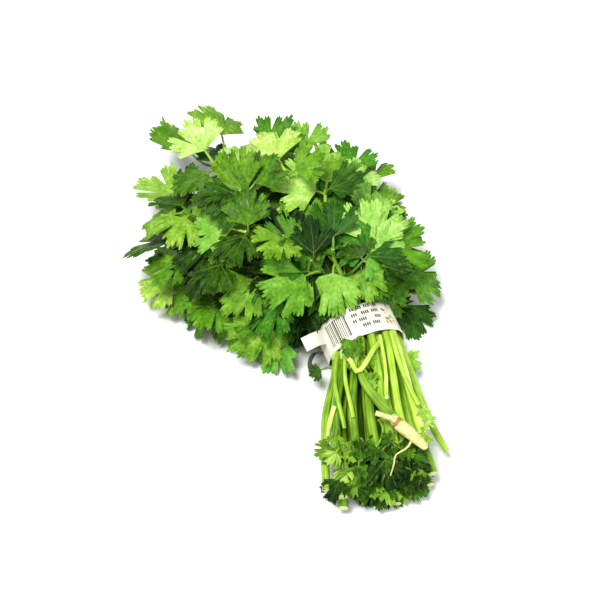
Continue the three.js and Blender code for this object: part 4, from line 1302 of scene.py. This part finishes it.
def low_leaflets():
    for item in range(LOW_LEAFLETS):
        x, y, z, swing, lean_x, lean_y, size, light, *shape = draws(LOW_LEAF, item, 0, 13)
        down = (1 - y) / 2
        base = [shifted(LOW_ACROSS, x), LOW_START - LOW_REACH * down,
                LOW_HEIGHT - LOW_DROP * down - LOW_DEPTH * abs(z)]
        if item % LAID_EVERY == 0:
            lay_on_stems([base], LAID_ABOVE, stems)
        loose_leaflet(base, math.radians(shifted(LOW_HEADING, swing)), LOW_LEAN * lean_x,
                      shifted(LOW_FORWARD, lean_y), shifted(LOW_SIZE, size), shape, shifted(LOW_PAINTED_SHADE_TONE, light))
    for item, (base, heading, size, tone) in enumerate(LOOSE_BITS):
        lean_x, lean_y, *shape = draws(LOOSE_BIT, item, 0, 7)
        base = list(base)
        lay_on_stems([base], LAID_ABOVE, stems)
        loose_leaflet(base, math.radians(heading), LOOSE_LEAN * lean_x, shifted(LOOSE_FORWARD, lean_y),
                      size, shape, tone)


# start, middle and end of each young stalk that lies over the others, its radius and its tint
YOUNG_STALKS = [
    ([-21, -50, 20], [-23.5, -56, 18], [-26, -64, 12], 1.3, 0.95),
    ([1, -60, 30], [2, -69, 30], [-4, -77, 28], 0.7, 0.5),
    ([9, -9, 30], [9, -30, 30], [6, -52, 30], 1.1, 0.85),
    ([15, -8, 30], [18, -34, 30], [23, -54, 24], 1.3, 0.75),
    ([-10, -14, 30], [-13, -32, 30], [-12, -58, 30], 1.2, 0.7),
    ([-15, -16, 26], [-19, -36, 24], [-17, -62, 20], 1.2, 0.5),
]
YOUNG_STEPS = 14
for stem in stems:
    stem["young"] = []
for *route, radius, tint in YOUNG_STALKS:
    number, _ = nearest_stem_point(route[1])
    route = smooth_route(route, YOUNG_STEPS)
    lay_on_stems(route, radius, stems)
    stems[number]["young"].append(line_of(route, [radius] * len(route), tint))


def filling_leaflets(stem):
    ahead = minus(stem["spot"], FAN_POINT)
    ahead = unit([ahead[0], ahead[1], FILLING_RISE])
    for item in range(FILLING_PER_STEM):
        at, swing, stalk, lean_x, lean_y, size, *shape = draws(
            FILLING_LEAF, stem["number"] * 8 + item, 0, 11)
        root = stem_point(stem, shifted(FILLING_PLACE, at))
        heading = turned(ahead, UP, math.radians(FILLING_TURN * swing))
        normal = unit([FILLING_LEAN * lean_x, FILLING_LEAN * lean_y, 1])
        base = plus(root, heading, shifted(FILLING_STALK, stalk))
        leaf = leaf_shape(shape, root, base, heading, normal, shifted(FILLING_LENGTH, size))
        leaf["slot"] = FILLING_SLOT
        if not dips_too_far(leaf):
            leaves[stem["number"]].append(leaf)


low_leaflets()
for stem in stems:
    filling_leaflets(stem)

# %% [markdown]
# ## The look of each leaflet
# A leaflet's tint depends on where it sits: dark inside the mound and in the tangle, which is painted shade,
# and paler towards the back and the right. Its shape, pleats, curl and frill vary a little. A stalk bends
# from the stem to the blade. Stems lower in the band get a darker tint, which is painted shade too.

# %% Leaf stalks, tints and the seed of each stem
# by slot: a small one, one from the list, the three of a stem's end, the two of its sides, a filling one;
# the filling one's near-black tint is painted shade inside the mound
LEAF_TINTS = {-2: 0.18, -1: 0.46, 0: 0.54, 1: 0.46, 2: 0.46, 3: 0.58, 4: 0.34, 5: 0.04}
PLAIN_SLOTS = (SMALL_LEAF, FILLING_SLOT)
# leaflets low in the tangle get a dark tint, which is painted shade
TANGLE_END, TANGLE_PAINTED_SHADE_TINT = -55, 0.25
TINT_SPREAD, LISTED_TINT_SPREAD = 0.38, 0.3
HIGHEST_TINT, PALEST_TINT = 0.74, 0.86
# leaflets get paler towards the back and the right of this spot, by so much for each millimetre
TINT_SPOT = (-25, 70)
TINT_BACK, TINT_RIGHT, TINT_LEFT = 0.004, 0.0075, 0.0012
WARMTH, WARMTH_RIGHT = (0.52, 0.5), 0.0022
PLEAT, CURL, FRILL = (0.045, 0.03), (0.06, 0.14), (1, 0.6)

STALK_RADII = [0.95, 0.85, 0.75, 0.68, 0.6, 0.3]
STALK_HANDLE, STALK_UNDER_BLADE, STALK_SINK = 0.5, 0.12, 0.2
LEAF_STALK_START = 40
LEAF_STALK_TINT, STEM_TINT = (0.08, 0.55), (0.42, 0.28)
# painted shade: stems lower in the band get a darker tint, higher ones a paler one
STEM_PAINTED_SHADE_UP, STEM_TINT_ACROSS = 0.18, 0.06


def leaf_look(leaf, item):
    light, pick, hue, pleat, curl, crisp = draws(LEAF_LOOK, item, 0, 6)
    low = leaf["base"][1] < TANGLE_END
    usual = TANGLE_PAINTED_SHADE_TINT if low else LEAF_TINTS[leaf["slot"]]
    right, back = leaf["base"][0] - TINT_SPOT[0], leaf["base"][1] - TINT_SPOT[1]
    usual += 0 if low else TINT_BACK * back + (TINT_RIGHT if right > 0 else TINT_LEFT) * right
    spread = TINT_SPREAD * light * (LISTED_TINT_SPREAD if "tone" in leaf else 1)
    leaf["tint"] = min(leaf.get("tone", min(usual, HIGHEST_TINT)) + spread, PALEST_TINT)
    leaf["hue"] = leaf.get("warmth", TANGLE_WARMTH if low else shifted(WARMTH, hue) - WARMTH_RIGHT * right)
    leaf["shape"] = leaf.get("form", int((pick + 1) / 2 * LEAF_SHAPES) % LEAF_SHAPES)
    leaf["shape"] += LEAF_SHAPES if leaf["slot"] in PLAIN_SLOTS else 0
    leaf["pleat"], leaf["curl"] = shifted(PLEAT, pleat), shifted(CURL, curl)
    leaf["crisp"] = leaf.get("frill", TANGLE_FRILL if low else shifted(FRILL, crisp))


def leaf_stalk(leaf, tint):
    root, base = leaf["root"], leaf["base"]
    handle = plus(base, leaf["along"], -STALK_HANDLE * math.dist(root, base))
    tip = plus(base, leaf["along"], STALK_UNDER_BLADE * leaf["size"])
    points = [bezier(root, handle, handle, base, step / 4) for step in range(5)]
    points.append(plus(tip, leaf["normal"], -STALK_SINK))
    points = [[p[0], p[1], max(p[2], radius)] for p, radius in zip(points, STALK_RADII)]
    return line_of(points, STALK_RADII, tint, LEAF_STALK_START)


def stem_seed(stem):
    number = stem["number"]
    stem_tint = shifted(STEM_TINT, draws(STEM_TONE, number, 0, 1)[0])
    # painted shade: the lower a stem lies, the darker its tint
    stem_tint += STEM_PAINTED_SHADE_UP * stem["up"]
    stem_tint += STEM_TINT_ACROSS * stem["across"]
    lines = [line_of(stem["centres"], stem["thickness"], stem_tint)]
    for item, leaf in enumerate(leaves[number]):
        leaf_look(leaf, number * 64 + item)
        lines.append(leaf_stalk(leaf, shifted(LEAF_STALK_TINT, leaf["tint"])))
    lines += stem["young"]
    if stem is folded_parent:
        lines.append(line_of(folded_route(), [FOLDED_RADIUS] * (FOLDED_STEPS + 1), FOLDED_TINT))
    return seed_mesh(f"seed_{number + 1:02d}", lines, leaves[number])


# %% Grow every leafy stem
def dress(piece, slot, *replaced):
    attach(piece, "root")
    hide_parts(*replaced)
    return piece


grow = leafy_stem_tree()
faces = 0
for stem in stems:
    label = f"{stem['number'] + 1:02d}"
    piece = finished_piece(f"leafy_stem_{label}", stem_seed(stem), grow, {
        "Leaflet shapes": shapes, "Leaf material": LEAF, "Stalk material": STALK})
    dress(piece, "leafy_stem", f"sprig_{label}")
    faces += len(piece.data.polygons)
print("leafy stems", len(stems), "faces", faces)

# %% [markdown]
# ## The taproot
# One plant was pulled up with its root. The root is pale and blunt, with fine rings across it, a brown scar
# where it meets the green stem, a thin rootlet and the stub of an old leaf.

# %% Root finish and root
ROOT_SLIMMING = 0.86
ROOT_TIP_LENGTH, ROOT_TIP_RADIUS = 1.6, 1.2
ROOTLET_START = 8
ROOT_TONES = [(0.3, (184, 190, 96)), (0.5, (216, 216, 136)), (0.7, (232, 220, 168))]
DIRT_BROWN, SCAR_BROWN = tone(112, 78, 26), tone(150, 88, 24)
SCAR_PLACE = 4.2


def root_finish():
    material, tree, surface = new_material("pale_root")
    along = own(tree, "along")["Fac"]
    broad, fine = mottle(tree, 260.0, 4.0), mottle(tree, 1400.0, 4.0)
    dirt = calc("GREATER_THAN", fine, 0.62)
    pale = mixed(product(dirt, 0.8), ramp(broad, ROOT_TONES), DIRT_BROWN)
    crown = varied(difference(along, SCAR_PLACE), broad, 5.0)
    scar = calc("LESS_THAN", calc("ABSOLUTE", crown), product(fine, 2.2))
    rings = calc("SINE", calc("MULTIPLY_ADD", broad, 6.0, product(along, 4.0)))
    fill(surface, {"Base Color": mixed(product(scar, 0.85), pale, SCAR_BROWN), "Roughness": 0.6})
    bumped(surface, calc("MULTIPLY_ADD", rings, 0.25, fine), 0.5, 0.0006)
    return material


def root_lines():
    others = [stem for stem in stems if stem is not rooted]
    end, before = rooted["centres"][:2]
    ahead = unit(minus(end, before))
    crown = plus(end, ahead, CROWN_GAP)
    route = [plus(crown, spot) for spot in ROOT_ROUTE]
    lay_on_stems(route, max(ROOT_RADII), others)
    route = [crown, plus(crown, ahead, CROWN_LENGTH), *route]
    tip = plus(route[-1], unit(minus(route[-1], route[-2])), ROOT_TIP_LENGTH)
    lines = [([*route, tip], [*ROOT_RADII, ROOT_TIP_RADIUS], 0)]
    for rows, radii in ((ROOTLET_ROUTE, ROOTLET_RADII), (STUB_ROUTE, STUB_RADII)):
        lines.append(([plus(crown, spot) for spot in rows], radii, ROOTLET_START))
    return [line_of(points, [radius * ROOT_SLIMMING for radius in radii], 0, start)
            for points, radii, start in lines]


root = finished_piece("rooted_end", seed_mesh("seed_root", root_lines(), []), grow, {
    "Leaflet shapes": shapes, "Sides": 20, "Groove depth": 0.04, "Step": MM,
    "Leaf material": LEAF, "Stalk material": root_finish()})
dress(root, "root", "taproot")

# %% [markdown]
# ## The paper band
# A strip of thin white paper wraps the stems, printed with generic bars, dashes and spots. The print follows
# the strip, so the mesh carries its own coordinates: how far round, and how far across.

# %% Band mesh and finish
PAPER = 0.35
BAND_STEPS_ROUND = 240
BAND_STEPS_ACROSS = 10
PINKING_DEPTH = 0.45
PINKED_FROM, PINKED_TO = 0.27, 0.47
PAPER_WIDTH = 19.2
# height, waves in one round, and how much they slant from edge to edge
RIPPLES = [(0.12, 9, 0), (0.1, 17, 4)]
RIPPLE_ROOM = 0.2

# the third number of a paper mark: 0 on the printed outside, 1 on plain paper, 3 on the tail, whose dark grey
# is painted shade
INSIDE, PAINTED_SHADE_MARK = 1, 3
TAIL_ROUTE = [[-21.6, -6, 12.5], [-25.5, -6, 13.5], [-28.8, -8.5, 11.5],
              [-29.5, -12.5, 8.5], [-27, -15.5, 5.5], [-24, -16.5, 4]]
FLAP_ROUTE = [[-19.5, -2.5, 24.5], [-25.5, -6.5, 30], [-32.7, -9, 29]]
# route, steps along it, width, which way the width points, and mark
LOOSE_ENDS = [(TAIL_ROUTE, 60, 2.8, [0.8, -0.2, 0.7], PAINTED_SHADE_MARK),
              (FLAP_ROUTE, 16, 8, [-0.25, 0.75, 0.45], INSIDE)]
LOOSE_END_THICKNESS = 0.5
LOOSE_END_MARK = (0.6, 0.5)

PAPER_TONES = [(0.3, (212, 212, 190)), (0.7, (240, 238, 222))]
SPOT_TONES = [(0.0, (214, 88, 40)), (0.35, (238, 186, 60)), (0.6, (206, 60, 44)), (0.85, (96, 150, 60))]
# the last grey is painted shade on the tail loop
BAR_GREY, DASH_GREY, PAINTED_SHADE_GREY = tone(72, 74, 50), tone(44, 46, 42), tone(26, 30, 20)
PRINT_PITCH = 120.0
DASH_ROWS, DASH_SHIFT = 5.0, 7.31
# from and to as shares of the way round, then as shares of the width
BAR_AREA = (0.305, 0.41, 0.14, 0.86)
DASH_AREA = (0.165, 0.288, 0.18, 0.98)
SPOT_AREA = (0.1, 0.15, 0.2, 0.85)


def band_spot(turn_share, width_share, inset):
    angle = 2 * math.pi * turn_share
    ripple = sum(height * math.sin(waves * angle + slant * width_share) for height, waves, slant in RIPPLES)
    inset += RIPPLE_ROOM + ripple
    across = (BAND_HALF_SPAN - inset) * math.cos(angle)
    up = max(BAND_CENTRE_HEIGHT + (BAND_HALF_RISE - inset) * math.sin(angle), inset - RIPPLE_ROOM - ripple)
    along = (width_share - 0.5) * PAPER_WIDTH
    return plus([across * BAND_ACROSS[0], across * BAND_ACROSS[1], up], BAND_ALONG, along)


def band_mesh():
    points, marks, faces = [], [], []
    across = BAND_STEPS_ACROSS + 1
    for side in (0, 1):
        for n in range(BAND_STEPS_ROUND):
            turn_share = n / BAND_STEPS_ROUND
            pinked = PINKED_FROM < turn_share < PINKED_TO and n % 2
            for step in range(across):
                width_share = step / BAND_STEPS_ACROSS
                if pinked and step == BAND_STEPS_ACROSS:
                    width_share -= PINKING_DEPTH / BAND_WIDTH
                points.append(band_spot(turn_share, width_share, side * PAPER))
                marks.append((turn_share, width_share, side))
    layer = BAND_STEPS_ROUND * across
    for n in range(BAND_STEPS_ROUND):
        here, following = n * across, (n + 1) % BAND_STEPS_ROUND * across
        for step in range(BAND_STEPS_ACROSS):
            quad = (here + step, following + step, following + step + 1, here + step + 1)
            faces.append(tuple(reversed(quad)))
            faces.append(tuple(v + layer for v in quad))
        for step, turned_round in ((0, False), (BAND_STEPS_ACROSS, True)):
            quad = (here + step, here + step + layer, following + step + layer, following + step)
            faces.append(quad if turned_round else tuple(reversed(quad)))
    return points, marks, faces


def add_strip(points, marks, faces, route, width, thickness, lean, side):
    first = len(points)
    for n, spot in enumerate(route):
        run = unit(minus(route[min(n + 1, len(route) - 1)], route[max(n - 1, 0)]))
        wide = unit(plus(lean, run, -dot(lean, run)))
        out = cross(wide, run)
        for layer, half in ((1, 1), (1, -1), (-1, -1), (-1, 1)):
            edge = plus(plus(spot, out, layer * thickness / 2), wide, half * width / 2)
            points.append([edge[0], edge[1], max(edge[2], 0)])
            marks.append((*LOOSE_END_MARK, side))
    for n in range(len(route) - 1):
        here, following = first + 4 * n, first + 4 * n + 4
        for k in range(4):
            after = (k + 1) % 4
            faces.append((here + k, following + k, following + after, here + after))
    last = first + 4 * (len(route) - 1)
    faces.append((first, first + 1, first + 2, first + 3))
    faces.append((last + 3, last + 2, last + 1, last))


def band_piece():
    points, marks, faces = band_mesh()
    wrapped = len(faces)
    for route, steps, width, lean, mark in LOOSE_ENDS:
        add_strip(points, marks, faces, smooth_route(route, steps), width, LOOSE_END_THICKNESS, lean, mark)
    mesh = bpy.data.meshes.new("paper_tie")
    mesh.from_pydata([[v * MM for v in point] for point in points], [], faces)
    store(mesh, "paper", "FLOAT_VECTOR", marks)
    mesh.polygons.foreach_set("use_smooth", [n < wrapped for n in range(len(faces))])
    return in_scene("paper_tie", mesh)


def paper_finish():
    material, tree, surface = new_material("printed_paper")
    round_share, across_share, side = split(own(tree, "paper")["Vector"])
    broad = mottle(tree, 60.0, 2.0)
    grain = calc("MULTIPLY_ADD", mottle(tree, 2500.0, 3.0), 0.3, product(broad, 0.7))
    outer = calc("LESS_THAN", side, 0.5)

    def pick_of(number):
        inputs = {"W": calc("FLOOR", number)}
        return add_node(tree, "ShaderNodeTexWhiteNoise", inputs, noise_dimensions="1D").outputs[0]

    def printed(base, mask, area, colour):
        place = product(inside(round_share, *area[:2]), inside(across_share, *area[2:]))
        return mixed(product(mask, place, outer), base, colour)

    pitch = product(round_share, PRINT_PITCH)
    bars = calc("LESS_THAN", calc("FRACT", pitch), calc("MULTIPLY_ADD", pick_of(pitch), 0.6, 0.25))
    colour = printed(ramp(grain, PAPER_TONES), bars, BAR_AREA, BAR_GREY)
    row = product(across_share, DASH_ROWS)
    dash = calc("MULTIPLY_ADD", calc("FLOOR", row), DASH_SHIFT, pitch)
    dashes = product(calc("GREATER_THAN", pick_of(dash), 0.25), inside(calc("FRACT", dash), 0.15, 0.85),
                     inside(calc("FRACT", row), 0.22, 0.76))
    colour = printed(colour, dashes, DASH_AREA, DASH_GREY)
    spots = add_node(tree, "ShaderNodeTexVoronoi", {
        "Vector": joined(product(round_share, 125.0), product(across_share, 21.0), 0.0), "Scale": 0.5})
    near = calc("LESS_THAN", spots.outputs["Distance"], 0.5)
    paint = ramp(split(spots.outputs["Color"])[0], SPOT_TONES)
    colour = printed(colour, near, SPOT_AREA, paint)
    # painted shade: the tail loop is coloured dark grey and reflects less, standing for the shadow on it
    painted_shade = product(calc("GREATER_THAN", side, 2.0), 0.9)
    fill(surface, {"Base Color": mixed(painted_shade, colour, PAINTED_SHADE_GREY), "Roughness": 0.38,
                   "Specular IOR Level": calc("MULTIPLY_ADD", painted_shade, -0.5, 0.5)})
    bumped(surface, broad, 0.2, 0.001)
    return material


band = band_piece()
band.data.materials.append(paper_finish())
dress(band, "band", "paper_band")

# %% [markdown]
# ## Stage and light
# A plain pale floor, a broad soft light from above and a weaker one from the side. Everything in this step is
# set dressing, not part of the object.

# %% Floor and light
FLOOR_HALF, FLOOR_DEPTH = 3, 0.0004
FLOOR_TONES = [(0.3, (246, 246, 245)), (0.7, (250, 250, 250))]
LAMP_AIM = Vector((-0.02, 0.02, 0.03))
# name, place, size and power
LAMPS = [("key", (-0.35, -0.1, 1.3), 0.5, 21), ("fill", (1.0, -0.9, 0.9), 1.0, 9)]
WORLD_STRENGTH = 0.42


def aim(thing, direction):
    thing.rotation_mode = "QUATERNION"
    thing.rotation_quaternion = direction.to_track_quat("-Z", "Y")


def floor_piece():
    mesh = bpy.data.meshes.new("floor")
    corners = [(-FLOOR_HALF, -FLOOR_HALF), (FLOOR_HALF, -FLOOR_HALF), (FLOOR_HALF, FLOOR_HALF),
               (-FLOOR_HALF, FLOOR_HALF)]
    mesh.from_pydata([(x, y, -FLOOR_DEPTH) for x, y in corners], [], [(0, 1, 2, 3)])
    material, tree, surface = new_material("pale_floor")
    fill(surface, {"Base Color": ramp(mottle(tree, 3.0, 2.0), FLOOR_TONES), "Roughness": 0.9})
    mesh.materials.append(material)
    in_scene("floor", mesh)


floor_piece()
for name, place, size, power in LAMPS:
    light = bpy.data.lights.new(name, "AREA")
    light.shape, light.size, light.energy = "DISK", size, power
    lamp = in_scene(name, light)
    lamp.location = place
    aim(lamp, LAMP_AIM - Vector(place))
world = bpy.data.worlds.new("studio")
bpy.context.scene.world = world
world.use_nodes = True
fill(world.node_tree.nodes["Background"], {0: (1, 1, 1, 1), 1: WORLD_STRENGTH})
bpy.context.scene.view_settings.view_transform = "Standard"

# %% [markdown]
# ## Camera
# The camera stands in front of the cut ends and looks down on the bunch. It aims straight at the origin and
# is then slid sideways and upwards, so that the bunch sits in the picture as in the reference view.

# %% Camera
VIEW_AZIMUTH = math.radians(-6)
VIEW_ELEVATION = math.radians(58)
VIEW_DISTANCE = 0.7
VIEW_RIGHT, VIEW_UP = -0.0337, 0.0294
SENSOR_WIDTH, LENS = 36, 73.5

back = Vector((math.sin(VIEW_AZIMUTH) * math.cos(VIEW_ELEVATION),
               -math.cos(VIEW_AZIMUTH) * math.cos(VIEW_ELEVATION), math.sin(VIEW_ELEVATION)))
right = Vector((math.cos(VIEW_AZIMUTH), math.sin(VIEW_AZIMUTH), 0))
camera_data = bpy.data.cameras.new("camera")
camera_data.sensor_width, camera_data.lens = SENSOR_WIDTH, LENS
camera = in_scene("camera", camera_data)
camera.location = back * VIEW_DISTANCE + right * VIEW_RIGHT + back.cross(right) * VIEW_UP
aim(camera, -back)
bpy.context.scene.camera = camera
